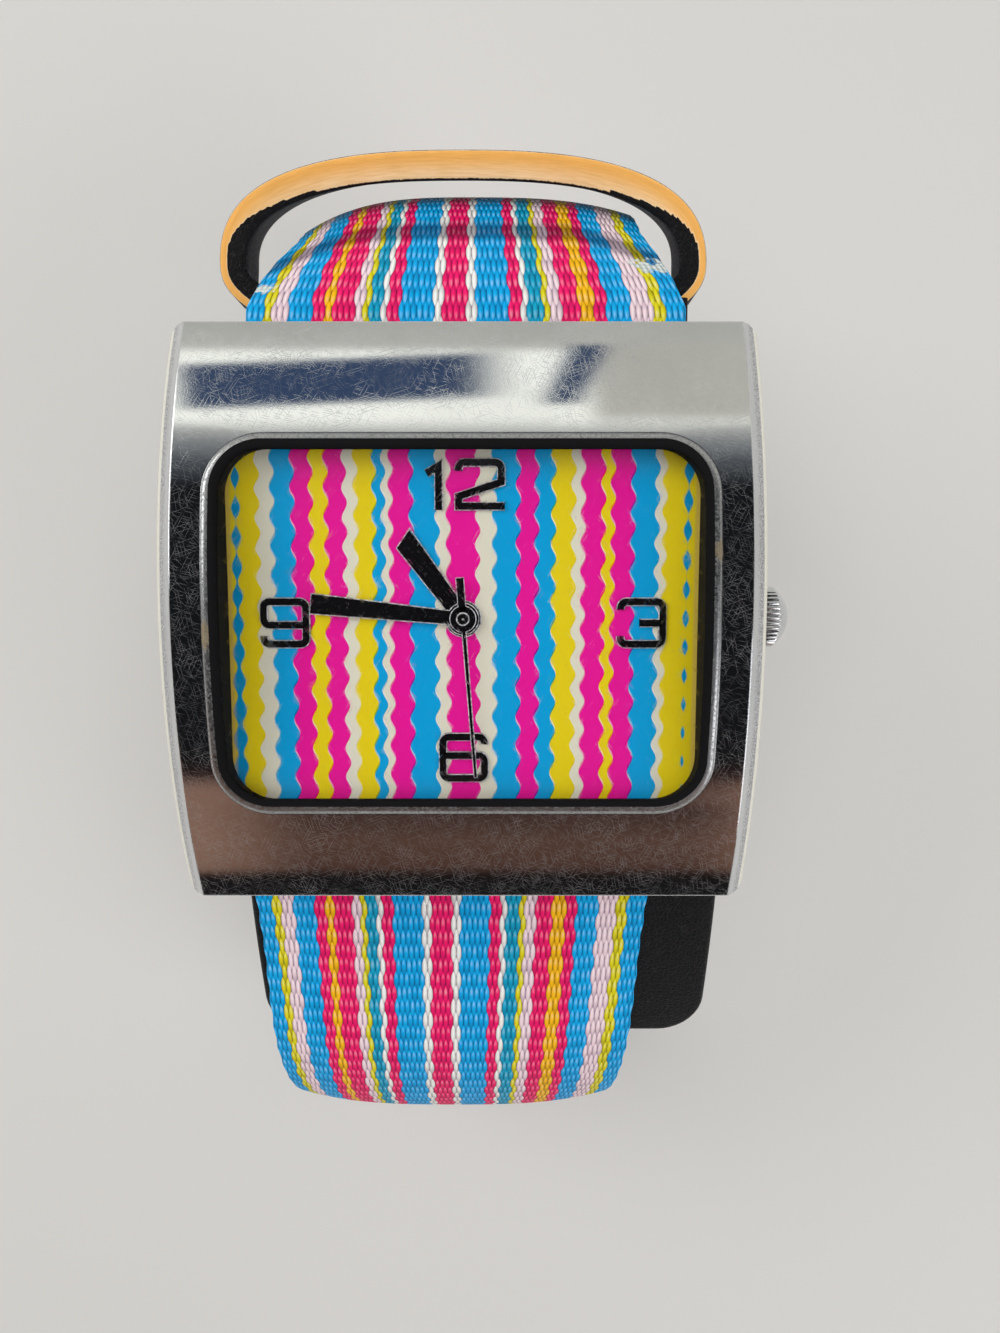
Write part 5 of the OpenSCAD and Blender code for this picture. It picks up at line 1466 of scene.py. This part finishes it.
class WATCH_OT_movement(bpy.types.Operator):
    """Finishes the movement's pieces"""

    bl_idname = "watch.movement"
    bl_label = "Movement"

    def execute(self, context):
        c = context.scene.watch_colours
        dress(brushed("gear_brass", c.gold, 0.24, 0.03), "hour_wheel", "cannon_pinion",
              "minute_wheel", "fourth_wheel", "third_wheel", "step_wheel")
        dress(brushed("rotor_steel", (0.5, 0.5, 0.52), 0.2, 0.05), "rotor", "stator",
              "train_bridge")
        dress(moulded("plate_plastic", (0.32, 0.3, 0.26), 0.5), "main_plate")
        dress(moulded("holder_plastic", c.plastic, 0.45), "movement_holder")
        dress(brushed("cell_steel", (0.75, 0.75, 0.74), 0.16, 0.1), "button_cell", "cell_clip",
              "quartz_can")
        f = Finish("coil_copper")
        at = f.place()
        x, _, _ = f.parts(at)
        turns = abs((x * (pi / 0.16)).sin())
        dress(f.surface(Base_Color=f.mix(turns, dimmed(c.copper, 0.4), c.copper), Metallic=1.0,
                        Roughness=f.noise(at, 3.0) * 0.2 + 0.2, Normal=f.bump(turns, 0.05)),
              "coil")
        f = Finish("board_green")
        x, y, _ = f.parts(f.place())
        lane = ((x * 1.4).floor() * 0.7 + y * 2.2).sin().over(0.55, 0.7)
        dress(f.surface(Base_Color=f.mix(lane, c.board, dimmed(c.board, 1.7)),
                        Roughness=lane * 0.1 + 0.3, Normal=f.bump(lane, 0.03, f.edge(0.05))),
              "circuit_board")
        return {"FINISHED"}


# Panel, main


OPERATORS = (WATCH_OT_stage, WATCH_OT_case, WATCH_OT_window, WATCH_OT_crown, WATCH_OT_dial,
             WATCH_OT_numerals, WATCH_OT_hands, WATCH_OT_ribbon, WATCH_OT_leather,
             WATCH_OT_buckle, WATCH_OT_movement)


class WATCH_PT_panel(bpy.types.Panel):
    """Lists the pieces and their sizes"""

    bl_idname = "WATCH_PT_panel"
    bl_label = "Ribbon Watch"
    bl_space_type = "VIEW_3D"
    bl_region_type = "UI"
    bl_category = "Watch"

    def draw(self, context):
        for operator in OPERATORS:
            self.layout.operator(operator.bl_idname)
        for name, group in SIZES.items():
            box = self.layout.box()
            for key in group.__annotations__:
                box.prop(getattr(context.scene, name), key)


def register():
    """Registers the sizes, the operators and the panel."""
    for name, group in SIZES.items():
        bpy.utils.register_class(group)
        setattr(bpy.types.Scene, name, PointerProperty(type=group))
    for item in OPERATORS + (WATCH_PT_panel,):
        bpy.utils.register_class(item)


def unregister():
    """Removes what register added."""
    for item in (WATCH_PT_panel,) + OPERATORS[::-1]:
        bpy.utils.unregister_class(item)
    for name, group in SIZES.items():
        delattr(bpy.types.Scene, name)
        bpy.utils.unregister_class(group)


def main():
    """Builds every piece in order."""
    register()
    for operator in OPERATORS:
        getattr(bpy.ops.watch, operator.bl_idname.split(".")[1])()


if __name__ == "__main__":
    main()
